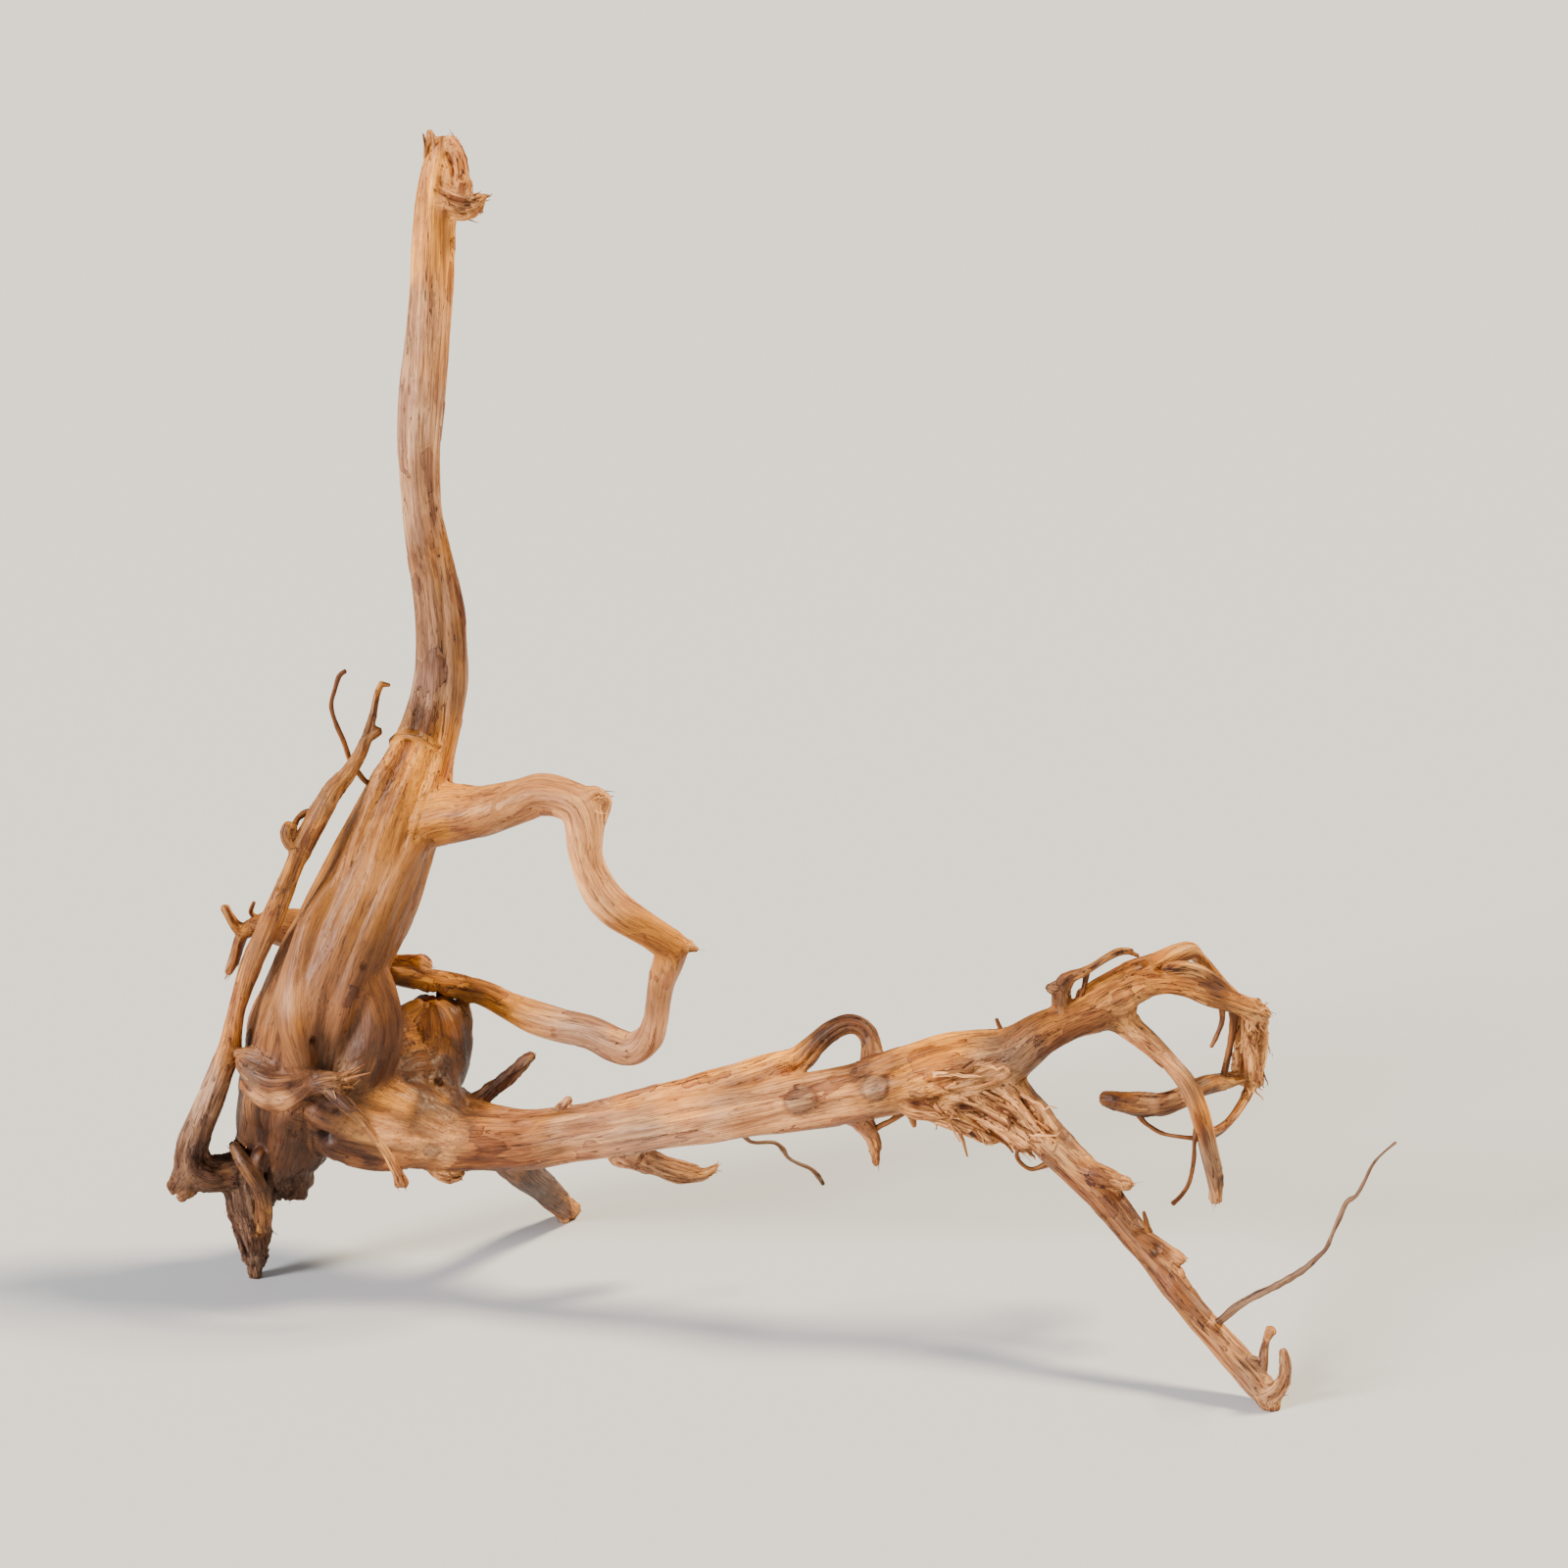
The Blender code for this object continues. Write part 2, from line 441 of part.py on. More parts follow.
def evaluated_mesh(obj):
    """A new mesh of the object as its modifiers leave it."""
    graph = bpy.context.evaluated_depsgraph_get()
    return bpy.data.meshes.new_from_object(obj.evaluated_get(graph))


def apply_modifiers(obj):
    made = evaluated_mesh(obj)
    obj.modifiers.clear()
    obj.data = made


def stout_wood(collection):
    """All stout limbs as one skin, thinned to few triangles."""
    bm = bmesh.new()
    for name, stations in STOUT.items():
        loft(bm, rings_of(smooth_route(stations, STEP), FLUTED.get(name, PLAIN)))
    mesh = bpy.data.meshes.new("bogwood")
    bm.to_mesh(mesh)
    bm.free()
    wood = bpy.data.objects.new("bogwood", mesh)
    collection.objects.link(wood)
    fuse = wood.modifiers.new("fuse", "REMESH")
    fuse.mode = "VOXEL"
    fuse.voxel_size = VOXEL
    soften = wood.modifiers.new("soften", "SMOOTH")
    soften.factor = 0.5
    soften.iterations = 4
    apply_modifiers(wood)
    thin = wood.modifiers.new("thin", "DECIMATE")
    thin.ratio = STOUT_TRIANGLES / (2 * len(wood.data.polygons))
    apply_modifiers(wood)
    return wood


def twig_mesh(name, stations, collection):
    """A thin twig: a tube that tapers from station to station."""
    route = [place(*station) for station in stations]
    curve = bpy.data.curves.new(name, "CURVE")
    curve.dimensions = "3D"
    curve.bevel_depth = 1.0
    curve.bevel_resolution = TWIG_SIDES_RESOLUTION
    curve.use_fill_caps = True
    spline = curve.splines.new("POLY")
    spline.points.add(len(route) - 1)
    for point, (position, radius) in zip(spline.points, route):
        point.co = (*position, 1)
        point.radius = radius
    tube = bpy.data.objects.new(name + "_route", curve)
    collection.objects.link(tube)
    bpy.context.view_layer.update()
    mesh = evaluated_mesh(tube)
    bm = bmesh.new()
    bm.from_mesh(mesh)
    bmesh.ops.remove_doubles(bm, verts=bm.verts, dist=0.00001)
    bmesh.ops.recalc_face_normals(bm, faces=bm.faces)
    bm.to_mesh(mesh)
    bm.free()
    twig = bpy.data.objects.new(name, mesh)
    twig.matrix_world = tube.matrix_world
    collection.objects.link(twig)
    bpy.data.objects.remove(tube)
    return twig


def join_twigs(wood, collection):
    """One union of the wood with every twig and splinter."""
    for name, stations in TWIGS.items():
        twig_mesh(name, stations, collection)
    draw = random.Random(SEED)
    for name, (first, last, reach, half_width, count) in SPLINTERS.items():
        for stations in splinter_stations((first, last), reach, half_width, count, draw):
            twig_mesh(name, stations, collection)
    union = wood.modifiers.new("twigs", "BOOLEAN")
    union.operation = "UNION"
    union.operand_type = "COLLECTION"
    union.collection = collection
    union.solver = "MANIFOLD"
    apply_modifiers(wood)
    for twig in list(collection.objects):
        bpy.data.objects.remove(twig)


def level_feet(wood, collection):
    """Cuts the three feet flat at the ground."""
    bpy.ops.mesh.primitive_cube_add(size=GROUND_BLOCK, location=(0, 0, -GROUND_BLOCK / 2))
    ground = bpy.context.object
    ground.name = "ground_cutter"
    for other in list(ground.users_collection):
        other.objects.unlink(ground)
    collection.objects.link(ground)
    cut = wood.modifiers.new("feet", "BOOLEAN")
    cut.operation = "DIFFERENCE"
    cut.object = ground
    cut.solver = "MANIFOLD"
    apply_modifiers(wood)
    bpy.data.objects.remove(ground)


def wood_material():
    material = bpy.data.materials.new("stripped_wood")
    material.use_nodes = True
    surface = material.node_tree.nodes["Principled BSDF"]
    surface.inputs["Base Color"].default_value = (0.5, 0.26, 0.14, 1)
    surface.inputs["Roughness"].default_value = 0.55
    surface.inputs["Metallic"].default_value = 0.0
    return material


def new_collection(name):
    collection = bpy.data.collections.new(name)
    bpy.context.scene.collection.children.link(collection)
    return collection


def main():
    for obj in list(bpy.data.objects):
        bpy.data.objects.remove(obj)
    parts = new_collection("bogwood_parts")
    helpers = new_collection("helpers")
    wood = stout_wood(parts)
    join_twigs(wood, helpers)
    level_feet(wood, helpers)
    wood.data.materials.clear()
    wood.data.materials.append(wood_material())
    wood.data.shade_smooth()


main()
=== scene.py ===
"""Bogwood: the look of one weathered, bark-stripped root that rests on three low points.

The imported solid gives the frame. The wood is built again from the same limbs, finer: its limbs flow
into each other, and its skin carries flutes, furrows, cracks, bark, knot holes and torn fibres, all
worked out in coordinates that follow each limb's grain.
"""

import math
import random

import bmesh
import bpy
import numpy as np
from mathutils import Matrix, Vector


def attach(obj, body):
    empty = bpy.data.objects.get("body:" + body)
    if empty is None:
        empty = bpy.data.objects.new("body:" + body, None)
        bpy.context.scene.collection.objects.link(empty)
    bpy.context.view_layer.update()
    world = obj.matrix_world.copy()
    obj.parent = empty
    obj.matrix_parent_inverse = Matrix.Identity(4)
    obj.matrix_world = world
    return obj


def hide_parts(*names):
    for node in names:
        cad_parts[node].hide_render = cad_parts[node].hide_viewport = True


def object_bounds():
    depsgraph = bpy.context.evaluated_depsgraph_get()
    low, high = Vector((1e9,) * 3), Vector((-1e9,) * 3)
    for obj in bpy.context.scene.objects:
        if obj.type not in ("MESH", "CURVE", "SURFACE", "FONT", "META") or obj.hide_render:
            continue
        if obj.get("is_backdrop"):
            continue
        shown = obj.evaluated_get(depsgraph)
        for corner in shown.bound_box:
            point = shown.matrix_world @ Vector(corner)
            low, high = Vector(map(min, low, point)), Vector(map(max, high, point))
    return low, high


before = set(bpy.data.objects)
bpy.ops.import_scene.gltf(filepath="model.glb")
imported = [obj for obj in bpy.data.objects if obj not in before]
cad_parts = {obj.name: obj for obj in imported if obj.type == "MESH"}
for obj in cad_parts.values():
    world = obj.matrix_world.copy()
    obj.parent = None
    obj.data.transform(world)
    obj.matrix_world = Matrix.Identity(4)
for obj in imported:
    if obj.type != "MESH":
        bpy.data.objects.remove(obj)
cad_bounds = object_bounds()

# The front view that the limbs are drawn in: 1600 units square, lengths in metres
DRAWN_SPAN = 0.775
DRAWN_UNITS = 1250
UNIT = DRAWN_SPAN / DRAWN_UNITS
DRAWING_CENTRE = 800
DRAWING_SIZE = 1600
EYE_DISTANCE = 2.0
EYE_PITCH = math.radians(15)
CENTRE_HEIGHT = 0.337
FOOTPRINT_CENTRE = (-0.021, -0.0512)
MM = 0.001

# Fineness: the skin's voxels and triangles, a tube's steps, sides and rounded ends, and the smoothing
# passes over worn places
VOXEL = 0.00095
STEP = 0.003
SIDES = 32
CAP = 0.7
CAP_RINGS = 5
STRAND_POINTS = 8
STRAND_SIDES = 4
WOOD_TRIANGLES = 192000
WORN_PASSES = 36
TWIG_STEP = 0.0015
TWIG_SIDES = 14
GROUND_CLEARANCE = 0.0002
SEED = 11

# The view's lens, the floor and the studio's light: name, where from, width in degrees, strength, colour
SENSOR = 36.0
FLOOR_SIZE = 400
WORLD_STRENGTH = 0.32
LAMPS = [
    ("front_left", (-1.0, -0.62, 0.45), 18, 5.7, (1.0, 0.95, 0.93)),
    ("warm_top_right", (0.70, 0.10, 0.90), 14, 6.0, (1.0, 0.85, 0.58)),
]

# How a limb's section is fluted: lobes, depth as a share of the radius, twist in turns a metre
FLUTED = {
    "stem": (7, 0.055, 0.35), "base": (6, 0.05, 0.0), "arm": (6, 0.045, 0.5), "back_limb": (5, 0.05, 0.8),
    "loop": (4, 0.05, 1.2), "foreleg": (5, 0.05, 0.8), "whip": (4, 0.06, 1.0), "burl": (5, 0.05, 0.0),
    "foot": (5, 0.08, 2.0),
}
PLAIN = (5, 0.04, 0.6)

# The limbs' stations: across, down, depth in mm, half width; all but the depth in units of the drawing
STOUT = {
    # Trunk and mast
    "stem": [
        (303, 1122, 6, 58), (312, 1080, 3, 61), (321, 1040, 2, 60), (333, 1000, 3, 55), (356, 953, 5, 52),
        (381, 897, 8, 50), (401, 845, 10, 46), (413, 812, 11, 42), (424, 785, 12, 37), (434, 757, 12, 32),
        (442, 728, 12, 29), (448, 695, 12, 27), (449, 660, 12, 25), (446, 620, 12, 23), (441, 580, 13, 22),
        (434, 545, 14, 20), (430, 510, 15, 20), (428, 457, 17, 21), (432, 390, 20, 21), (438, 310, 24, 21),
        (442, 240, 28, 21), (446, 190, 31, 19), (450, 162, 33, 16), (451, 150, 33, 15),
    ],
    "mast_ridge": [
        (444, 508, 12, 4), (450, 550, 9, 8), (457, 590, 7, 10), (462, 630, 5, 12), (463, 668, 4.5, 13),
        (462, 705, 3.5, 13), (458, 740, 2.5, 12), (450, 775, 0, 11), (440, 812, -4.5, 11),
        (428, 850, -8.5, 10),
    ],
    "mast_peak": [(444, 160, 32, 12), (441, 147, 32, 8), (438, 134, 32, 3)],
    "mast_knot": [
        (455, 200, 26, 14), (466, 206, 24, 15), (475, 208, 23, 14), (483, 206, 22, 10), (490, 202, 21, 6),
        (495, 200, 21, 3),
    ],
    "mast_lip": [
        (458, 148, 30, 8), (465, 153, 28, 8), (470, 163, 26, 8), (472, 178, 25, 8), (472, 194, 24, 10),
    ],
    "mast_fill": [(456, 166, 30, 12), (459, 184, 28, 12), (460, 200, 27, 10)],
    "shoulder_lip": [
        (401, 757, 8, 6), (408, 752, 3, 6), (420, 751, -3.5, 6), (433, 755, -5.6, 5), (444, 762, -5, 4),
    ],
    "trunk_ridge_right": [
        (428, 856, -8, 13), (403, 897, -17, 14), (384, 940, -22, 15), (368, 978, -24, 14.5),
        (354, 1015, -26, 14), (344, 1050, -24, 13), (338, 1080, -18, 10),
    ],
    "trunk_ridge_left": [
        (338, 905, -9, 11), (318, 938, -14, 13), (306, 975, -19, 14), (300, 1010, -24, 15),
        (300, 1045, -30, 16), (308, 1080, -33, 15),
    ],
    # Base of the trunk
    "base": [(303, 1105, 8, 56), (294, 1150, 12, 52), (288, 1182, 16, 42), (296, 1206, 18, 22)],
    "base_heel": [(290, 1206, 16, 12), (302, 1216, 15, 10), (308, 1217, 14, 8)],
    "base_collar": [
        (250, 1082, -14, 12), (262, 1092, -21, 16), (282, 1103, -28, 19), (303, 1102, -31, 17),
        (322, 1096, -31, 11),
    ],
    "collar_flap": [
        (248, 1106, -17, 5), (258, 1116, -24, 7), (273, 1124, -30, 9), (290, 1124, -34, 9),
        (305, 1116, -37, 8), (317, 1105, -36, 7), (325, 1094, -32, 6),
    ],
    "collar_top": [
        (246, 1076, -12, 7), (258, 1076, -19, 8), (272, 1080, -24, 8), (284, 1088, -28, 8),
        (300, 1092, -31, 6),
    ],
    "root_lip": [
        (348, 1120, -31, 7), (336, 1132, -30, 7), (327, 1148, -26, 7), (329, 1166, -22, 7),
        (343, 1178, -19, 7),
    ],
    "burl": [(440, 1041, 42, 34), (440, 1064, 44, 38), (437, 1086, 38, 40), (432, 1108, 24, 36)],
    "burl_rim": [(458, 1038, 46, 22), (459, 1060, 47, 23), (456, 1082, 44, 23), (450, 1098, 36, 24)],
    "burl_edge": [
        (468, 1030, 44, 12), (474, 1043, 45, 9), (470, 1058, 45, 10), (471, 1074, 44, 8),
        (466, 1092, 42, 9),
    ],
    "burl_core": [(350, 1080, 8, 34), (382, 1068, 16, 36), (396, 1064, 24, 34)],
    "burl_apron": [(396, 1094, 4, 24), (416, 1090, 16, 28)],
    "burl_lobe": [
        (370, 990, -6, 24), (380, 1020, -9, 29), (382, 1048, -12, 32), (374, 1078, -14, 32),
        (358, 1102, -13, 30),
    ],
    "lobe_crease": [
        (424, 1084, 6, 6), (404, 1097, -8, 9), (384, 1110, -20, 11), (366, 1126, -28, 12),
        (352, 1146, -30, 12),
    ],
    "burl_neck": [(434, 1084, 38, 37), (441, 1108, 24, 29), (450, 1136, 6, 27)],
    "back_root": [(345, 1118, 26, 36), (356, 1130, 44, 26), (364, 1139, 55, 19)],
    "back_stub": [(388, 892, 26, 18), (393, 884, 42, 13), (396, 878, 50, 11)],
    # Dark root foot and what lies over it
    "foot": [
        (268, 1158, 4, 16), (257, 1180, 0, 19), (253, 1203, -2, 23), (255, 1224, -1, 24),
        (256, 1245, 0, 19), (257, 1262, 0, 17), (259, 1277, 0, 13), (260, 1290, 0, 9), (260, 1303, 0, 6),
    ],
    "foot_strip": [
        (239, 1170, -12, 5), (247, 1182, -17, 7), (255, 1194, -20, 8), (264, 1208, -20, 8),
        (269, 1224, -18, 8), (270, 1240, -15, 8), (269, 1254, -11, 6),
    ],
    "foot_ridge": [(263, 1192, -14, 8), (266, 1179, -16, 9), (274, 1172, -15, 6), (287, 1170, -17, 4)],
    "foot_top": [(244, 1182, -6, 8), (240, 1168, -7, 5)],
    # Whip beside the trunk
    "whip": [
        (253, 1196, -4, 17), (230, 1199, -8, 17), (211, 1199, -11, 17), (198, 1189, -12, 17),
        (196, 1171, -13, 14.5), (203, 1148, -14, 13.5), (213, 1124, -13, 12.5), (223, 1100, -10, 11.5),
        (233, 1074, -7, 11), (238, 1050, -8, 9), (243, 1028, -9, 8), (252, 1000, -12, 10),
        (260, 976, -15, 11), (270, 954, -17, 11), (283, 926, -19, 11), (298, 888, -19, 10),
        (309, 862, -17, 10), (321, 838, -14, 10), (337, 811, -9, 9), (348, 797, -6, 8), (357, 786, -4, 7),
        (368, 768, -1, 6), (376, 748, 1, 5), (381, 728, 3, 4), (385, 708, 5, 3.4), (390, 697, 6, 3.4),
    ],
    "whip_end": [(195, 1198, -12, 16), (186, 1210, -12, 13)],
    "whip_stub": [(306, 868, -18, 8), (298, 860, -18, 8), (294, 850, -18, 7), (296, 843, -17, 6)],
    "whip_knob": [(376, 752, 1, 5), (386, 745, 1, 5)],
    # Angular loop, which ends in a forked stub behind the trunk
    "loop": [
        (432, 835, 4, 30), (462, 829, -4, 31), (488, 829, -14, 27), (510, 824, -22, 24),
        (533, 817, -28, 22), (552, 811, -33, 21), (572, 814, -38, 20), (590, 824, -43, 20),
        (596, 845, -46, 20), (597, 868, -48, 18), (603, 892, -50, 17), (614, 914, -50, 18),
        (631, 931, -47, 18), (651, 944, -42, 17), (671, 956, -37, 17), (684, 968, -30, 17),
        (681, 984, -23, 16), (675, 1002, -16, 15), (671, 1022, -9, 14), (668, 1042, -3, 14),
        (661, 1061, 3, 15), (645, 1071, 8, 16), (626, 1066, 12, 16), (602, 1054, 18, 15),
        (574, 1047, 26, 15), (545, 1038, 34, 15), (520, 1027, 40, 13), (495, 1015, 45, 12),
        (468, 1006, 48, 11), (440, 1001, 49, 11), (415, 996, 48, 11), (390, 989, 46, 11),
        (362, 975, 43, 13), (335, 961, 40, 16), (308, 950, 36, 20), (285, 946, 32, 19), (268, 944, 28, 13),
    ],
    "loop_corner": [
        (596, 816, -42, 13), (608, 811, -41, 9), (617, 816, -40, 6), (619, 828, -40, 4.5),
        (616, 842, -42, 4),
    ],
    "loop_ridge": [
        (604, 862, -45, 6), (613, 886, -44, 7.5), (626, 908, -42, 8), (643, 925, -38, 8),
        (662, 939, -34, 8), (681, 952, -30, 7), (694, 962, -30, 6),
    ],
    "loop_spur": [(688, 963, -31, 14), (701, 966, -32, 8), (711, 969, -33, 4)],
    "loop_stub": [
        (380, 975, 42, 6), (400, 980, 40, 6), (418, 981, 38, 6), (430, 984, 36, 9), (434, 986, 36, 8),
    ],
    "tail_up": [
        (264, 943, 28, 10), (249, 950, 26, 8), (240, 944, 25, 6), (234, 934, 24, 5), (230, 926, 24, 5),
    ],
    "tail_down": [
        (251, 948, 26, 7), (244, 960, 25, 6), (240, 974, 24, 5), (236, 986, 23, 5), (233, 992, 22, 4),
    ],
    # Arm and what grows from it
    "arm": [
        (318, 1105, 0, 48), (352, 1124, -2, 55), (388, 1138, -4, 53), (425, 1149, -6, 43),
        (460, 1160, -9, 32), (500, 1164, -12, 28), (540, 1165, -15, 27), (590, 1158, -22, 27),
        (645, 1151, -30, 27), (704, 1142, -38, 28), (763, 1133, -45, 28), (821, 1123, -50, 28),
        (880, 1114, -56, 29), (925, 1102, -61, 33), (965, 1091, -65, 36), (1000, 1084, -68, 33),
        (1030, 1076, -70, 28), (1060, 1056, -70, 23), (1092, 1042, -69, 20), (1120, 1032, -67, 22),
        (1142, 1022, -64, 24),
    ],
    "back_limb": [
        (446, 1124, 28, 24), (486, 1141, 12, 19), (530, 1147, -3, 16), (590, 1142, -12, 15),
        (640, 1131, -19, 16), (700, 1117, -25, 18), (755, 1103, -30, 18), (792, 1091, -33, 17),
        (815, 1082, -34, 14), (831, 1068, -34, 12), (848, 1053, -34, 11), (866, 1045, -35, 10),
        (880, 1049, -37, 9.5), (888, 1062, -40, 9.5), (890, 1082, -47, 11),
    ],
    "back_twig": [
        (470, 1132, 20, 10), (488, 1122, 18, 8), (505, 1109, 17, 7.5), (520, 1096, 16, 7),
        (533, 1085, 15, 6.5), (540, 1079, 14, 6),
    ],
    "back_knob": [(572, 1131, -10, 6), (580, 1122, -9, 4)],
    "front_stick": [
        (330, 1102, -34, 9), (341, 1115, -42, 8), (354, 1128, -48, 7.5), (368, 1142, -53, 7),
        (384, 1162, -57, 6.5), (397, 1181, -60, 5.5), (405, 1196, -62, 5.5), (409, 1208, -63, 7.5),
    ],
    "stick_knot": [(318, 1108, -32, 10), (335, 1103, -37, 11), (352, 1102, -35, 7), (364, 1099, -31, 3.4)],
    "arm_knot": [(334, 1152, -14, 12), (334, 1160, -22, 10)],
    "under_stub": [
        (515, 1172, -8, 20), (534, 1195, 14, 16), (552, 1210, 48, 14.5), (566, 1223, 76, 13),
        (576, 1233, 92, 11), (579, 1238, 99, 9),
    ],
    "under_spur": [
        (634, 1172, -28, 17), (654, 1182, -24, 13), (676, 1190, -18, 11), (698, 1197, -12, 10.5),
        (716, 1198, -8, 8), (727, 1193, -6, 6), (731, 1189, -5, 4),
    ],
    "under_knob": [(440, 1180, -8, 13), (450, 1190, -9, 12), (460, 1194, -10, 11), (467, 1192, -9, 8)],
    "y_stub": [
        (872, 1135, -56, 12), (884, 1150, -54, 9), (891, 1162, -53, 7), (894, 1176, -53, 5),
        (895, 1187, -53, 3.4),
    ],
    # Torn fork
    "tear": [(938, 1112, -64, 20), (985, 1122, -72, 20), (1020, 1138, -80, 18), (1050, 1160, -88, 16)],
    "tear_splinter": [
        (905, 1112, -66, 9), (925, 1126, -73, 11), (950, 1134, -79, 11), (978, 1147, -85, 9),
        (1000, 1157, -88, 7), (1014, 1165, -89, 4),
    ],
    "tear_strand": [(1008, 1140, -80, 7), (1024, 1154, -86, 5), (1031, 1164, -88, 3.4)],
    "foreleg": [
        (1000, 1090, -66, 22), (1029, 1112, -73, 21), (1052, 1139, -83, 20), (1073, 1166, -91, 18),
        (1097, 1189, -100, 17), (1116, 1208, -108, 16), (1135, 1230, -116, 15), (1152, 1253, -125, 15),
        (1171, 1277, -134, 14), (1190, 1301, -143, 14), (1208, 1325, -152, 13), (1226, 1348, -160, 13),
        (1245, 1369, -168, 13), (1263, 1390, -176, 14), (1280, 1410, -184, 14), (1293, 1426, -190, 11),
        (1297, 1436, -193, 8),
    ],
    "leg_flap": [
        (1100, 1190, -104, 10), (1122, 1199, -112, 10), (1140, 1205, -116, 8), (1151, 1208, -119, 6),
    ],
    "leg_stub": [
        (1160, 1258, -130, 9), (1178, 1269, -136, 8), (1194, 1279, -140, 7), (1205, 1286, -143, 6),
    ],
    "toe_peg": [
        (1284, 1406, -184, 6), (1289, 1394, -184, 4.5), (1290, 1379, -184, 3.8), (1293, 1366, -185, 4),
        (1297, 1358, -186, 6),
    ],
    "toe_nub": [(1289, 1394, -184, 4), (1282, 1388, -183, 4), (1275, 1385, -182, 4)],
    "toe_thumb": [
        (1292, 1424, -191, 10), (1304, 1417, -194, 9), (1311, 1402, -195, 7), (1311, 1388, -195, 5.5),
        (1309, 1379, -195, 3.5),
    ],
    # Curled crown
    "crown_low": [
        (1118, 1031, -66, 17), (1150, 1014, -65, 15), (1175, 1004, -66, 12), (1205, 1005, -69, 10),
        (1237, 1015, -70, 12), (1262, 1024, -63, 11), (1288, 1035, -52, 10),
    ],
    "crown_top": [
        (1110, 1022, -62, 16), (1145, 1000, -58, 14), (1178, 985, -50, 11), (1200, 974, -42, 10),
        (1215, 970, -36, 9), (1226, 980, -32, 6), (1240, 996, -30, 5), (1256, 1013, -34, 4.5),
        (1272, 1026, -44, 5),
    ],
    "crown_torn": [
        (1278, 1028, -51, 12), (1276, 1042, -48, 16), (1276, 1060, -46, 15), (1276, 1080, -44, 14.5),
        (1276, 1092, -43, 14), (1281, 1104, -43, 9),
    ],
    "crown_web": [
        (1192, 990, -66, 9), (1208, 990, -67, 9), (1224, 994, -68, 9), (1240, 1003, -68, 8),
        (1255, 1014, -64, 8),
    ],
    "crown_finger": [
        (1132, 1030, -66, 18), (1152, 1046, -69, 14), (1172, 1063, -75, 12), (1193, 1084, -82, 10),
        (1211, 1105, -88, 9.5), (1222, 1130, -92, 9.5), (1229, 1155, -95, 9.5), (1235, 1180, -97, 9.5),
        (1240, 1205, -98, 8.5), (1242, 1224, -99, 6.5),
    ],
    "crown_cross": [
        (1276, 1096, -44, 8), (1262, 1101, -50, 7), (1246, 1104, -60, 8), (1228, 1108, -76, 9),
        (1206, 1120, -84, 9.5), (1186, 1127, -86, 10), (1163, 1128, -84, 12), (1142, 1124, -82, 9),
        (1127, 1121, -80, 6),
    ],
    "crown_tie": [
        (1277, 1100, -44, 7), (1272, 1118, -52, 5), (1264, 1132, -62, 4.5), (1253, 1146, -74, 4.5),
        (1243, 1154, -84, 6), (1236, 1157, -92, 6),
    ],
    "curl": [
        (1084, 1036, -70, 10), (1083, 1020, -70, 9.5), (1084, 1008, -71, 8.5), (1092, 998, -72, 7.5),
        (1104, 993, -73, 5.5), (1115, 987, -73, 4.5), (1127, 979, -73, 4.5), (1141, 972, -72, 4.5),
        (1154, 971, -70, 3.6),
    ],
    "curl_knob": [(1085, 1012, -71, 6), (1076, 1007, -72, 6), (1072, 1009, -72, 5)],
}

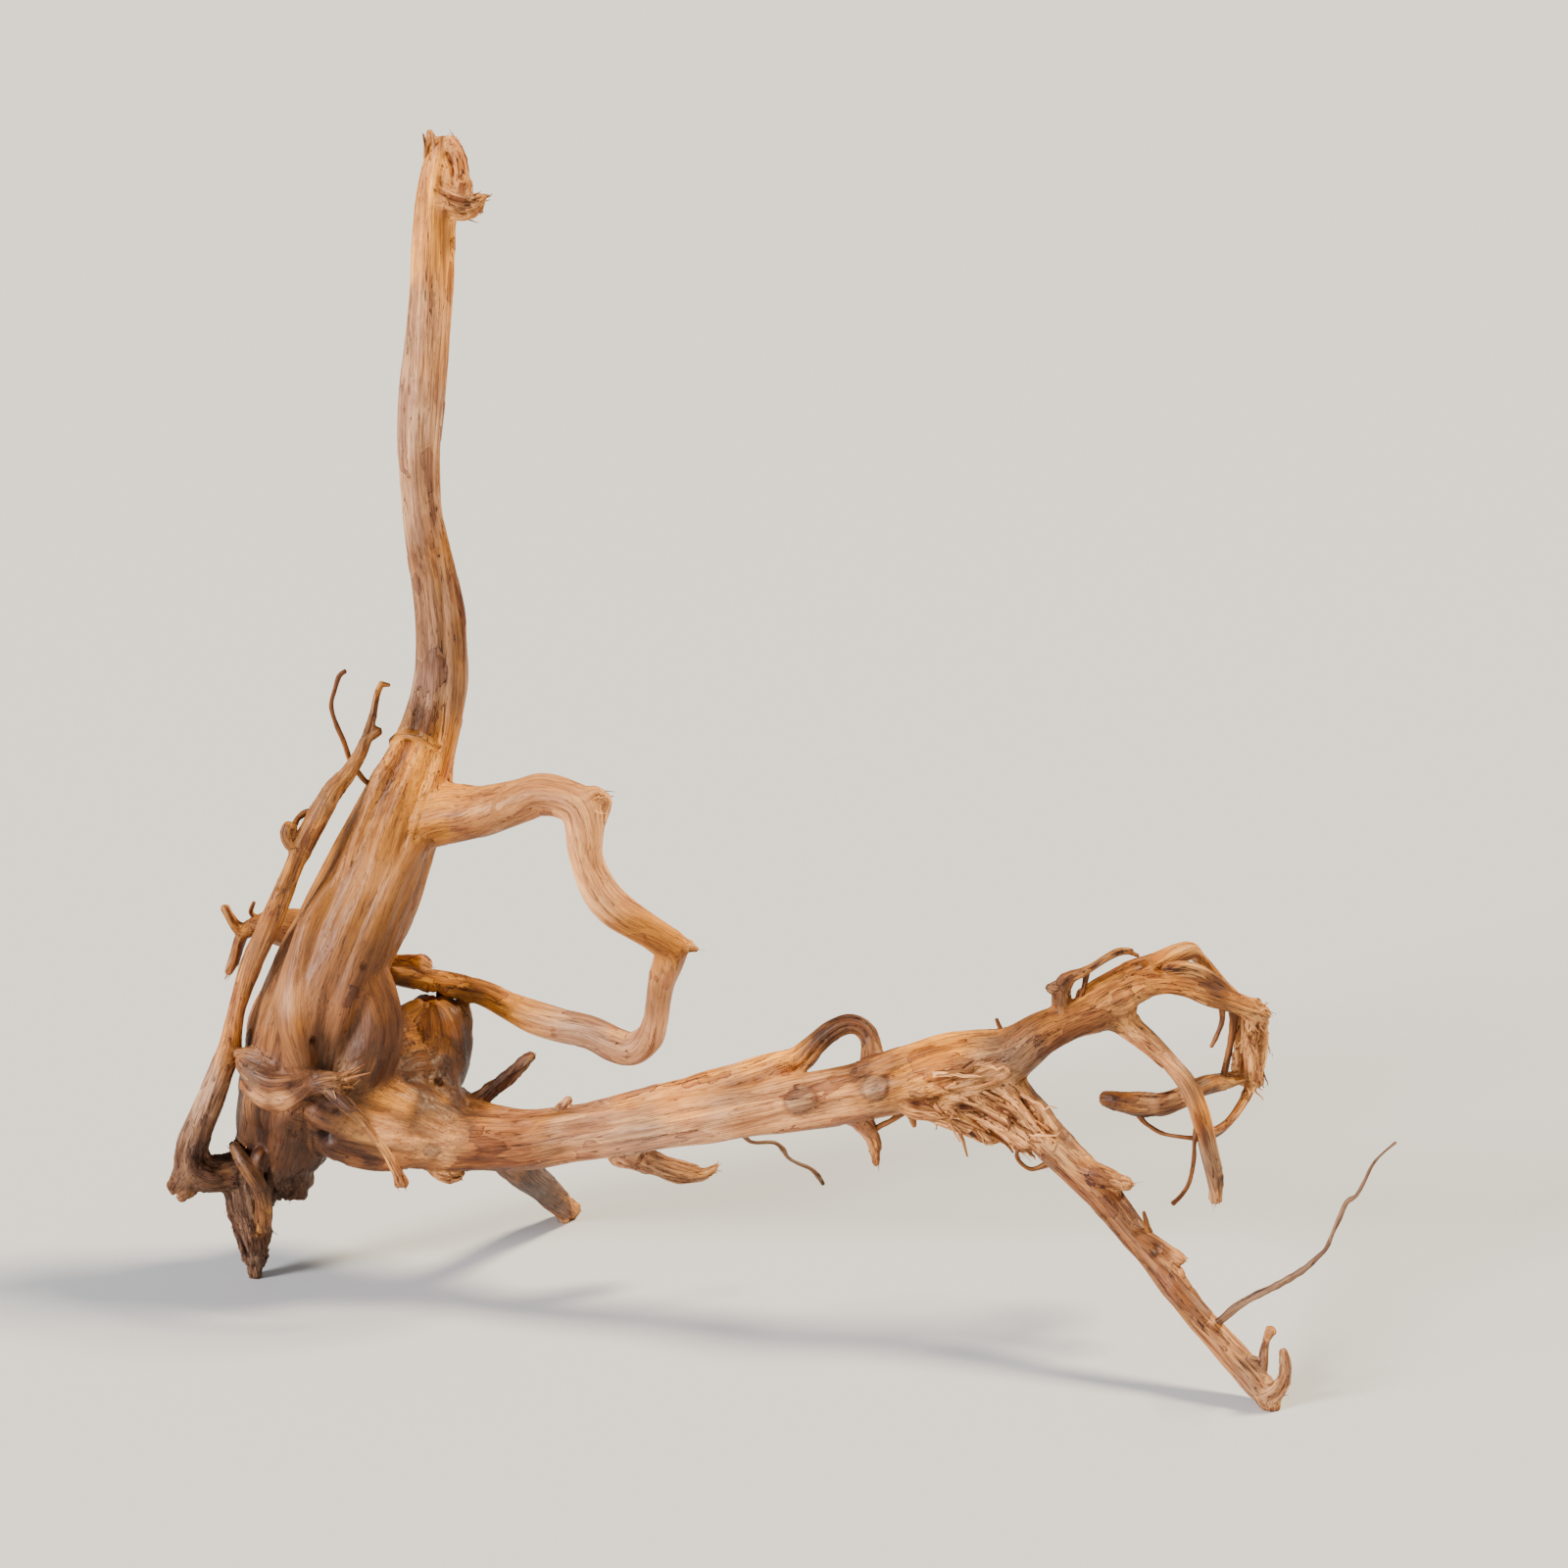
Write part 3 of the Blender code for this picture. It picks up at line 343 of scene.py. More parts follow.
# The thin twigs and threads, in the same way
TWIGS = {
    "long_twig": [
        (1234, 1353, -162, 5), (1246, 1347, -166, 4.2), (1261, 1334, -170, 4.2), (1281, 1322, -175, 4.0),
        (1302, 1312, -180, 3.8), (1328, 1297, -185, 3.6), (1343, 1284, -189, 3.0), (1353, 1274, -191, 2.6),
        (1360, 1258, -193, 2.5), (1367, 1242, -195, 2.6), (1374, 1227, -197, 2.3), (1384, 1220, -199, 2.0),
        (1392, 1206, -201, 1.9), (1398, 1193, -202, 1.7), (1404, 1184, -203, 1.5), (1413, 1175, -204, 1.4),
        (1424, 1166, -205, 1.7),
    ],
    "side_twig": [
        (392, 808, 9, 3.5), (374, 798, 6, 2.6), (366, 789, 4, 2.9), (358, 778, 4, 2.8), (351, 757, 5, 2.6),
        (343, 739, 5, 2.4), (338, 720, 6, 2.2), (342, 703, 6, 2.4), (346, 690, 6, 2.8), (352, 685, 6, 2.4),
    ],
    "whip_hook": [(390, 698, 6, 3.0), (397, 699, 6, 2.0)],
    "whip_ring": [(328, 830, -11, 4), (315, 828, -7, 3.5), (304, 835, -9, 3.2), (299, 846, -14, 3.8)],
    "tail_spike": [(264, 938, 28, 4), (256, 931, 27, 3), (259, 921, 26, 2.2)],
    "foot_needle": [(282, 1171, -16, 4), (295, 1168, -18, 2.8), (302, 1167, -19, 2)],
    "curl_end": [(1152, 971, -70, 3.4), (1161, 975, -68, 2.3)],
    "curl_link": [(1109, 991, -72, 3.5), (1106, 1007, -70, 2.6), (1101, 1024, -68, 3.4)],
    "fork_thorn": [(1032, 1062, -67, 4), (1022, 1051, -64, 3), (1017, 1040, -63, 2)],
    "crown_drop": [
        (1246, 1018, -67, 4), (1247, 1040, -66, 3), (1242, 1056, -68, 2.6), (1236, 1068, -69, 2.1),
    ],
    "crown_tie_inner": [
        (1259, 1028, -60, 5), (1258, 1050, -56, 3.8), (1255, 1068, -56, 3.4), (1251, 1086, -58, 3.5),
        (1248, 1103, -60, 4),
    ],
    "cross_thread": [
        (1159, 1130, -84, 5), (1166, 1143, -86, 3), (1176, 1151, -88, 2.3), (1188, 1157, -90, 2.1),
        (1206, 1160, -94, 2.1), (1223, 1162, -94, 3),
    ],
    "finger_thread": [
        (1223, 1150, -93, 5), (1219, 1164, -98, 2.6), (1218, 1183, -101, 2.2), (1214, 1205, -103, 2.2),
        (1206, 1219, -105, 2.5), (1197, 1228, -107, 2.8),
    ],
    "leg_ring": [
        (1056, 1164, -86, 3.5), (1042, 1171, -92, 2.2), (1037, 1179, -93, 2), (1043, 1188, -92, 2),
        (1053, 1193, -92, 2.2), (1068, 1188, -92, 3.2),
    ],
    "leg_thorn": [(1173, 1262, -132, 4.5), (1170, 1249, -134, 3), (1167, 1237, -135, 1.8)],
    "under_twig": [
        (755, 1152, -42, 4.5), (763, 1163, -36, 2.4), (771, 1166, -33, 2.1), (790, 1166, -28, 2.1),
        (799, 1173, -26, 2.7), (804, 1181, -24, 2.0), (814, 1187, -20, 2.0), (826, 1192, -17, 2.3),
        (834, 1199, -14, 2.5), (840, 1208, -12, 2.2),
    ],
    "y_link": [(887, 1156, -53, 4), (898, 1149, -56, 3), (910, 1143, -60, 3), (924, 1132, -63, 5)],
    "y_thorn": [(926, 1126, -63, 6), (931, 1141, -64, 4), (933, 1149, -64, 2.2)],
    "stick_thorn": [(296, 1170, -17, 3), (294, 1161, -19, 1.8)],
}

# Torn wood, as the first and the last splinter's root, how far a splinter reaches, its root's half
# width, and how many there are
SPLINTERS = {
    "tear_upper": ((948, 1106, -76), (992, 1102, -80), (36, 16, -7), 3.0, 4),
    "tear_lower": ((928, 1120, -66), (1004, 1136, -78), (40, 20, -8), 3.2, 6),
    "torn_bend": ((1264, 1034, -56), (1282, 1044, -50), (5, 34, -8), 2.4, 4),
    "stick_knot": ((336, 1098, -35), (350, 1105, -35), (22, -9, -10), 1.6, 4),
    "mast_end": ((430, 160, 30), (460, 164, 30), (1, -19, -5), 2.6, 4),
}

# How far each feature of the relief repeats in metres, twice across the grain and once along it
FLUTES = (0.011, 0.011, 0.13)
LUMPS = (0.024, 0.024, 0.05)
RIDGES = (0.0045, 0.0045, 0.09)
FINE_RIDGES = (0.0019, 0.0019, 0.035)
GROOVES = (0.0075, 0.0075, 0.17)
GROOVED_PLACES = (0.03, 0.03, 0.09)
PATCHES = (0.013, 0.013, 0.034)
KNOBS = (0.009, 0.009, 0.018)
BARK_PLATES = (0.005, 0.005, 0.022)
SHREDS = (0.0046, 0.0046, 0.026)
HAIRS = (0.0016, 0.0016, 0.022)

# How high they stand in metres, and where they grow with the limb, as shares of its radius
FLUTE_SHARE = 0.085
LUMP_SHARE = 0.07
KNOB_SHARE = 0.11
RIDGE_HEIGHT = 0.0009
FINE_RIDGE_HEIGHT = 0.00022
GROOVE_DEPTH = 0.0011
PATCH_HEIGHT = 0.0004
PLATE_HEIGHT = 0.0028
PLATE_SINK = 0.0008
SHRED_HEIGHT = 0.0034
HAIR_HEIGHT = 0.0018
SCAR_HEIGHT = 0.0004
SCAR_RIM = 0.0002

# Where bark clings, wood is torn, polished, worn smooth or flaky: across, down, depth, reach in mm,
# strength. Each place has a soft, ragged edge.
ZONES = {
    "bark": [
        (257, 1215, -2, 34, 1.0), (258, 1270, 0, 30, 1.0), (208, 1196, -12, 26, 0.8),
        (232, 1200, -8, 22, 0.9), (535, 1084, 14, 14, 0.9), (512, 1104, 17, 14, 0.8),
        (690, 1192, -22, 24, 0.6), (1190, 1126, -86, 20, 0.5), (378, 745, 1, 14, 0.5),
        (300, 860, -20, 14, 0.4), (1076, 1008, -72, 12, 0.8),
    ],
    "torn": [
        (1000, 1130, -84, 34, 0.9), (960, 1128, -80, 26, 0.8), (1040, 1150, -92, 22, 0.7),
        (1276, 1060, -50, 26, 1.0), (1278, 1092, -46, 16, 1.0), (1272, 1034, -52, 14, 0.7),
        (470, 196, 26, 20, 1.0), (466, 156, 28, 12, 1.0), (346, 1104, -38, 13, 0.45),
        (408, 1206, -63, 9, 1.0), (579, 1238, 98, 13, 1.0), (728, 1192, -5, 10, 1.0),
        (1150, 1208, -119, 9, 0.8), (1204, 1286, -143, 9, 0.8), (616, 824, -40, 11, 0.9),
        (710, 969, -33, 7, 0.8), (186, 1212, -12, 10, 0.8), (436, 985, 36, 8, 0.8),
        (1304, 1418, -194, 13, 0.6), (456, 1196, -10, 14, 1.0), (1244, 1222, -99, 8, 0.8),
        (894, 1184, -53, 8, 0.7), (232, 990, 22, 8, 0.6), (230, 926, 24, 8, 0.6),
    ],
    "polish": [
        (295, 990, -38, 40, 1.0), (388, 905, -30, 34, 1.0), (395, 1155, -36, 26, 1.0),
        (380, 1045, -32, 24, 0.7), (300, 1010, -34, 34, 0.9), (372, 940, -30, 40, 0.8),
        (600, 880, -58, 30, 0.8), (668, 1030, -14, 26, 0.9), (440, 1165, -28, 26, 1.0),
        (700, 1150, -52, 60, 0.6), (640, 1068, -2, 20, 0.7), (500, 826, -30, 26, 0.6),
    ],
    "worn": [
        (340, 1060, -34, 30, 0.8), (410, 1090, -10, 30, 1.0), (440, 1110, 10, 24, 1.0),
        (360, 1120, -20, 20, 0.6), (345, 985, -30, 34, 0.8), (330, 940, -24, 30, 0.7),
        (430, 1060, 10, 30, 0.8), (300, 1000, -36, 40, 0.9), (385, 920, -30, 40, 0.8),
        (395, 1150, -36, 30, 0.9), (600, 880, -58, 40, 0.8), (668, 1030, -14, 30, 0.8),
    ],
    "flaky": [
        (650, 1155, -60, 50, 1.0), (480, 1165, -40, 30, 0.7), (760, 1135, -64, 44, 0.9),
        (880, 1112, -80, 40, 0.9), (960, 1090, -92, 36, 0.8), (1120, 1205, -115, 40, 0.8),
        (560, 1165, -45, 30, 0.8), (1195, 1300, -150, 36, 0.6),
    ],
}

# How strong the furrows and knobs of a limb are, where they aren't 1
ROUGHNESS = {
    "loop": 0.6, "loop_ridge": 0.6, "arm": 0.9, "stem": 0.9, "base": 0.7, "burl": 0.9, "burl_rim": 0.8,
    "burl_edge": 1.6, "burl_core": 0.5, "burl_lobe": 0.5, "burl_neck": 0.6, "trunk_ridge_left": 0.6,
    "trunk_ridge_right": 0.6, "lobe_crease": 0.6, "collar_flap": 0.9, "root_lip": 0.6, "base_collar": 1.0,
    "collar_top": 1.2, "shoulder_lip": 1.3, "crown_web": 1.8, "mast_lip": 1.8, "mast_knot": 1.8,
    "foreleg": 1.5, "leg_flap": 1.5, "leg_stub": 1.5, "toe_peg": 1.4, "toe_thumb": 1.4, "crown_low": 1.5,
    "crown_top": 1.7, "crown_torn": 1.8, "crown_finger": 1.2, "crown_cross": 1.7, "crown_tie": 1.7,
    "curl": 1.8, "curl_knob": 1.8, "whip": 1.5, "whip_end": 1.6, "whip_stub": 1.6, "whip_knob": 1.8,
    "tail_up": 1.7, "tail_down": 1.7, "back_limb": 1.3, "back_twig": 1.6, "back_knob": 1.6,
    "under_stub": 1.3, "under_spur": 1.7, "under_knob": 1.7, "y_stub": 1.6, "front_stick": 1.3,
    "stick_knot": 1.8, "tear": 1.8, "tear_splinter": 1.8, "mast_ridge": 1.3, "foot": 1.6,
    "foot_strip": 1.5, "foot_ridge": 1.6, "foot_top": 1.6,
}

# Limbs with no bark left, even where it clings all round
BARE_LIMBS = ("foot_strip", "foot_ridge", "front_stick")

# Knot holes and dents: across, down, depth, radius in mm, how deep in mm
HOLES = [
    (321, 1062, -36, 2.4, 4.0), (334, 1157, -28, 5.2, 6.5), (443, 1113, 8, 3.0, 3.0),
    (373, 987, -34, 2.2, 2.5), (452, 958, 38, 3.0, 3.0), (1262, 1200, -110, 2.0, 2.0),
    (560, 1060, 10, 2.0, 1.5), (447, 1188, -18, 2.4, 3.0), (456, 1190, -19, 2.0, 2.5),
    (1180, 1275, -146, 2.4, 2.0),
]

# Round scars of old bark that stand a little proud: across, down, depth, radius in mm
SCARS = [
    (815, 1121, -68, 9.5), (893, 1110, -76, 8.5), (439, 1169, -24, 5.0),
]

# Where torn fibres stand off the skin: across, down, depth, reach in mm, how many, longest in mm, half
# width in mm, lift off the skin
FRAYS = [
    (985, 1124, -82, 28, 24, 36, 2.30, 0.10), (1020, 1146, -90, 24, 20, 28, 1.90, 0.14),
    (950, 1118, -78, 20, 18, 26, 1.70, 0.10), (1046, 1162, -92, 18, 16, 18, 1.20, 0.25),
    (1000, 1140, -88, 26, 34, 16, 0.50, 0.30), (1050, 1172, -94, 14, 26, 12, 0.35, 0.35),
    (1276, 1050, -52, 22, 34, 16, 0.90, 0.18), (1276, 1094, -46, 14, 30, 12, 0.80, 0.16),
    (1276, 1044, -52, 20, 30, 10, 0.40, 0.30), (350, 1104, -38, 9, 16, 11, 0.60, 0.30),
    (350, 1104, -38, 10, 22, 12, 0.32, 0.35), (406, 1200, -62, 9, 30, 8, 0.40, 0.20),
    (470, 198, 22, 18, 50, 9, 0.55, 0.30), (466, 152, 30, 10, 24, 8, 0.50, 0.20),
    (616, 822, -40, 12, 24, 8, 0.45, 0.20), (578, 1238, 98, 11, 30, 8, 0.45, 0.15),
    (727, 1193, -5, 9, 24, 8, 0.40, 0.20), (1150, 1208, -119, 10, 16, 8, 0.45, 0.20),
    (1204, 1286, -143, 10, 16, 8, 0.45, 0.20), (1300, 1412, -194, 14, 24, 8, 0.40, 0.20),
    (186, 1213, -12, 9, 16, 6, 0.40, 0.15), (258, 1240, -2, 30, 40, 10, 0.50, 0.12),
    (250, 1180, -12, 20, 20, 10, 0.45, 0.20), (1240, 1222, -99, 8, 16, 6, 0.35, 0.20),
    (893, 1180, -53, 8, 16, 7, 0.35, 0.25), (232, 985, 22, 9, 16, 7, 0.35, 0.25),
    (710, 969, -33, 6, 10, 6, 0.30, 0.15), (434, 985, 36, 9, 14, 8, 0.35, 0.20),
    (535, 1080, 14, 9, 14, 6, 0.35, 0.20), (304, 842, -18, 10, 18, 8, 0.35, 0.25),
    (460, 1196, -10, 12, 16, 6, 0.40, 0.25), (1130, 1205, -114, 20, 20, 7, 0.35, 0.25),
]

# Colours of the wood, as linear red, green, blue; GOLD, PALE and SILVER also give painted highlights and
# painted light, UMBER also painted shade
STRAW = (0.66, 0.320, 0.090)
GOLD = (0.95, 0.370, 0.030)
PALE = (0.90, 0.430, 0.170)
FIBRE = (0.86, 0.420, 0.165)
HONEY = (0.54, 0.195, 0.015)
TAN = (0.32, 0.115, 0.021)
ROSE = (0.38, 0.145, 0.057)
UMBER = (0.080, 0.028, 0.010)
BARK = (0.115, 0.066, 0.046)
GREY = (0.26, 0.160, 0.102)
SILVER = (0.64, 0.365, 0.215)

# The side that faces the warm lamp, painted brighter in gold as painted light
WARM_LIGHT_SIDE = (0.55, 0.05, 0.83)

# How a limb's colour differs from the rest: colour, share
LIMB_TONES = {
    "whip": (HONEY, 0.25), "whip_end": (UMBER, 0.35), "whip_stub": (UMBER, 0.35), "foot": (BARK, 0.6),
    "foot_strip": (STRAW, 0.45), "foot_ridge": (UMBER, 0.5), "foot_top": (UMBER, 0.3),
    "tail_up": (UMBER, 0.45), "tail_down": (UMBER, 0.45), "arm": (ROSE, 0.35), "back_limb": (HONEY, 0.75),
    "mast_ridge": (HONEY, 0.45), "burl": (HONEY, 0.4), "burl_lobe": (UMBER, 0.3),
    "burl_neck": (HONEY, 0.5), "base": (UMBER, 0.3), "base_heel": (UMBER, 0.4), "base_collar": (ROSE, 0.3),
    "crown_low": (HONEY, 0.3), "crown_top": (HONEY, 0.5), "crown_torn": (STRAW, 0.35),
    "crown_cross": (UMBER, 0.6), "crown_tie": (UMBER, 0.45), "curl": (UMBER, 0.4),
    "curl_knob": (BARK, 0.5), "back_twig": (GREY, 0.6), "back_knob": (UMBER, 0.4),
    "arm_knot": (UMBER, 0.2), "burl_rim": (HONEY, 0.5), "burl_edge": (UMBER, 0.4),
    "burl_core": (UMBER, 0.35), "lobe_crease": (UMBER, 0.2), "collar_flap": (ROSE, 0.4),
    "collar_top": (GREY, 0.4), "root_lip": (ROSE, 0.2), "shoulder_lip": (HONEY, 0.4),
    "crown_web": (UMBER, 0.6), "loop_ridge": (HONEY, 0.35), "front_stick": (TAN, 0.3),
    "under_stub": (TAN, 0.3), "under_spur": (UMBER, 0.3), "under_knob": (UMBER, 0.35),
    "y_stub": (TAN, 0.3), "tear": (STRAW, 0.3), "tear_splinter": (STRAW, 0.3),
    "tear_strand": (UMBER, 0.25), "leg_flap": (STRAW, 0.2), "trunk_ridge_left": (ROSE, 0.3),
    "trunk_ridge_right": (ROSE, 0.2), "loop": (ROSE, 0.1), "mast_lip": (HONEY, 0.5),
    "mast_peak": (UMBER, 0.4), "mast_knot": (UMBER, 0.35), "stick_knot": (GREY, 0.6),
    "mast_fill": (UMBER, 0.5),
}

# Twigs as grey as weathered wood
PALE_TWIGS = ("long_twig", "under_twig")

# Stains, painted shade and painted highlights: across, down, depth, reach in mm, colour, share
STAINS_SHADE_AND_HIGHLIGHTS = [
    # Painted highlights: the GOLD spot on the mast's top and the SILVER spots on the mast's left side in
    # these two lines
    (424, 330, 10, 125, PALE, 0.25), (448, 240, 14, 70, GOLD, 0.55), (445, 600, 0, 70, UMBER, 0.12),
    (408, 330, 14, 30, SILVER, 0.55), (404, 430, 12, 34, SILVER, 0.7), (412, 520, 12, 30, SILVER, 0.5),
    # Painted light: the GOLD spots along the shoulder and the arm's top edge, and the PALE highlight on the
    # loop at 600 across
    (415, 792, -10, 40, GOLD, 0.9), (690, 1140, -56, 70, PALE, 0.8), (640, 1160, -54, 50, SILVER, 0.5),
    (830, 1110, -68, 60, PALE, 0.5), (950, 1075, -88, 44, GOLD, 0.8), (640, 1116, -30, 16, GOLD, 0.9),
    (680, 1106, -34, 16, GOLD, 0.9), (720, 1096, -38, 16, GOLD, 0.9), (760, 1084, -42, 16, GOLD, 0.9),
    (800, 1072, -42, 16, GOLD, 0.8), (540, 815, -45, 45, PALE, 0.3), (600, 880, -58, 45, PALE, 0.95),
    (665, 950, -44, 30, GOLD, 0.4), (668, 1025, -20, 34, PALE, 0.3), (560, 1045, 20, 60, SILVER, 0.65),
    (645, 1068, 0, 34, SILVER, 0.35), (1190, 1080, -88, 34, PALE, 0.5), (1150, 1010, -75, 40, STRAW, 0.35),
    (1275, 1070, -55, 30, STRAW, 0.6), (1090, 1180, -108, 40, STRAW, 0.4),
    (300, 1000, -36, 34, SILVER, 0.3), (395, 890, -30, 30, PALE, 0.3), (350, 800, -14, 36, GREY, 0.5),
    (210, 1135, -20, 44, SILVER, 0.5), (1270, 1400, -190, 44, SILVER, 0.2),
    (436, 690, -4, 34, SILVER, 0.4), (350, 1000, -30, 60, HONEY, 0.4), (350, 990, -30, 56, UMBER, 0.5),
    (600, 1170, -44, 40, PALE, 0.4), (880, 1085, -80, 34, GOLD, 0.4), (1000, 1135, -88, 34, STRAW, 0.7),
    # Painted shade: the large UMBER spots on the base slab, the trunk's foot and the burl in these three
    # lines
    (1278, 1070, -58, 26, STRAW, 0.7), (425, 1155, -42, 30, PALE, 0.5), (300, 1165, -18, 62, UMBER, 0.88),
    (345, 1075, -36, 44, UMBER, 0.6), (440, 1060, 20, 46, UMBER, 0.76), (460, 1050, 30, 44, UMBER, 0.85),
    (448, 1100, 12, 34, UMBER, 0.75), (432, 1070, 0, 38, UMBER, 0.92), (445, 1100, 4, 30, UMBER, 0.85),
    (470, 1045, 30, 18, HONEY, 0.3), (500, 1018, 42, 24, GOLD, 0.7), (540, 1036, 34, 24, GOLD, 0.6),
    (455, 1002, 44, 18, GOLD, 0.6), (415, 978, 38, 14, HONEY, 0.7), (438, 1116, 0, 12, GOLD, 0.5),
    (285, 1112, -36, 26, ROSE, 0.6), (345, 1100, -38, 16, GREY, 0.7), (375, 1152, -55, 24, STRAW, 0.4),
    # Painted shade: the UMBER spots on the hump at 863 across and under the low stub at 560 across
    (465, 650, 0, 60, UMBER, 0.6), (863, 1052, -42, 34, UMBER, 0.95), (560, 1210, 30, 46, UMBER, 0.95),
    # Painted shadow: the five small UMBER spots from 437 to 458 across make the dark band that the loop's
    # return limb casts across the burl
    (375, 900, -30, 50, UMBER, 0.3), (437, 1020, 20, 7, UMBER, 0.7), (443, 1040, 20, 8, UMBER, 0.8),
    (448, 1060, 18, 9, UMBER, 0.8), (454, 1080, 16, 9, UMBER, 0.8), (458, 1098, 14, 9, UMBER, 0.7),
    (428, 1070, 10, 16, UMBER, 0.55), (360, 1075, -24, 34, UMBER, 0.6), (335, 1060, -34, 12, UMBER, 0.5),
    (350, 1125, -24, 24, UMBER, 0.5), (300, 1190, -6, 44, UMBER, 0.65), (280, 1150, -26, 24, UMBER, 0.55),
    (250, 1150, -14, 20, UMBER, 0.5), (330, 1170, -22, 16, UMBER, 0.6), (262, 1094, -30, 9, UMBER, 0.45),
    (284, 1090, -36, 8, UMBER, 0.4), (425, 742, -8, 16, UMBER, 0.65), (420, 780, -6, 16, GOLD, 0.8),
    (300, 860, -20, 18, UMBER, 0.3), (212, 1140, -20, 34, UMBER, 0.4), (200, 1190, -18, 26, UMBER, 0.6),
    (375, 735, 0, 20, UMBER, 0.5), (1195, 1270, -150, 34, ROSE, 0.6), (1180, 1290, -150, 24, UMBER, 0.3),
    (1130, 1225, -125, 20, UMBER, 0.35), (1075, 1170, -108, 26, GREY, 0.5),
    (1010, 1095, -98, 26, GREY, 0.8), (1295, 1415, -200, 22, GREY, 0.5),
    (1235, 1195, -104, 26, GREY, 0.75), (640, 1080, 0, 30, ROSE, 0.3), (590, 1052, 14, 26, GREY, 0.4),
    (660, 1020, -16, 16, UMBER, 0.35), (1216, 990, -74, 10, BARK, 0.8), (1240, 1000, -74, 12, UMBER, 0.7),
    (1252, 1085, -56, 9, BARK, 0.8), (870, 1080, -70, 8, UMBER, 0.5), (440, 185, 20, 24, HONEY, 0.6),
    # Painted light: the bright GOLD spots on the mast's top
    (452, 178, 14, 18, GOLD, 0.95), (446, 230, 16, 20, GOLD, 0.5), (474, 205, 8, 12, UMBER, 0.7),
    (405, 840, 0, 30, HONEY, 0.4), (432, 1104, -6, 12, HONEY, 0.35), (474, 1040, 30, 12, HONEY, 0.4),
    (1090, 1035, -78, 30, HONEY, 0.4), (1185, 985, -66, 26, HONEY, 0.6), (1215, 975, -64, 16, STRAW, 0.5),
    (1012, 1120, -86, 24, STRAW, 0.5), (1275, 1075, -50, 20, STRAW, 0.45), (560, 820, -40, 22, ROSE, 0.3),
    (520, 1150, -36, 24, ROSE, 0.5), (900, 1075, -80, 30, ROSE, 0.35), (1240, 1080, -60, 10, UMBER, 0.5),
    (1225, 1100, -84, 14, UMBER, 0.7), (579, 1236, 98, 10, UMBER, 0.55), (728, 1193, -5, 8, UMBER, 0.6),
    (205, 1150, -20, 26, BARK, 0.35), (243, 1040, -14, 16, ROSE, 0.4), (330, 825, -20, 14, GREY, 0.5),
    (290, 905, -24, 10, UMBER, 0.5), (1160, 1262, -135, 22, UMBER, 0.4),
    (1215, 1332, -160, 14, UMBER, 0.4), (1110, 1207, -112, 18, ROSE, 0.4),
    (980, 1142, -84, 9, UMBER, 0.65), (1006, 1152, -90, 8, UMBER, 0.65), (945, 1130, -74, 8, UMBER, 0.55),
    (1090, 1050, -84, 18, UMBER, 0.35), (1130, 1046, -80, 14, UMBER, 0.3),
    (560, 1172, -40, 12, UMBER, 0.3), (690, 1156, -58, 16, UMBER, 0.3), (910, 1122, -90, 22, UMBER, 0.4),
    (600, 1160, -44, 14, UMBER, 0.25), (520, 1180, -30, 18, ROSE, 0.4), (760, 1150, -60, 18, ROSE, 0.4),
    (360, 960, -26, 16, UMBER, 0.3), (345, 1010, -30, 16, UMBER, 0.35), (395, 845, -16, 14, UMBER, 0.25),
    (426, 700, -6, 12, UMBER, 0.4), (424, 560, 0, 12, UMBER, 0.25), (431, 300, 12, 10, UMBER, 0.25),
    (428, 1106, -8, 18, UMBER, 0.7), (470, 1040, 30, 26, UMBER, 0.8), (440, 1168, -42, 18, PALE, 0.8),
    (256, 1088, -24, 7, UMBER, 0.6), (275, 1099, -34, 6, UMBER, 0.5), (300, 1108, -38, 6, UMBER, 0.5),
    (255, 1104, -22, 6, UMBER, 0.5), (286, 1126, -41, 8, PALE, 0.5), (262, 1119, -32, 8, PALE, 0.35),
    (700, 1140, -58, 24, PALE, 0.6), (950, 1085, -90, 22, GOLD, 0.5), (600, 880, -60, 20, GOLD, 0.4),
    (213, 1125, -22, 22, SILVER, 0.4), (1050, 1080, -92, 16, GREY, 0.5), (430, 700, -6, 16, SILVER, 0.4),
    (560, 1045, 14, 22, SILVER, 0.3), (268, 1285, -8, 12, GREY, 0.5), (300, 1020, -40, 14, PALE, 0.3),
    (390, 900, -30, 14, PALE, 0.35), (436, 1046, 22, 22, HONEY, 0.45), (1050, 1080, -92, 26, UMBER, 0.35),
    (340, 1010, -38, 40, ROSE, 0.4), (402, 960, -20, 30, UMBER, 0.35), (600, 880, -60, 26, PALE, 0.6),
    (960, 1090, -90, 26, GOLD, 0.4), (700, 1150, -58, 30, SILVER, 0.4), (400, 1040, -10, 24, UMBER, 0.4),
    (400, 1250, -10, 20, UMBER, 0.3), (250, 1100, -30, 10, GREY, 0.6), (428, 1110, -6, 26, UMBER, 0.6),
    # Painted highlight: the PALE spot at 398 across on the arm's root
    (448, 1126, 0, 8, GOLD, 0.5), (400, 1130, -30, 14, GOLD, 0.5), (398, 1148, -36, 12, PALE, 0.8),
    (355, 985, -36, 30, UMBER, 0.3), (648, 1163, -54, 22, GREY, 0.6), (740, 1110, -64, 24, GREY, 0.45),
    (690, 1120, -60, 22, GOLD, 0.5), (1000, 1108, -92, 22, GREY, 0.6), (1020, 1170, -96, 22, FIBRE, 0.5),
    (1240, 1200, -104, 20, UMBER, 0.3), (372, 870, -26, 60, HONEY, 0.45), (372, 870, -26, 60, UMBER, 0.15),
    (430, 600, 0, 30, SILVER, 0.2), (680, 1108, -58, 14, GOLD, 0.7), (815, 1121, -68, 7, SILVER, 0.4),
]

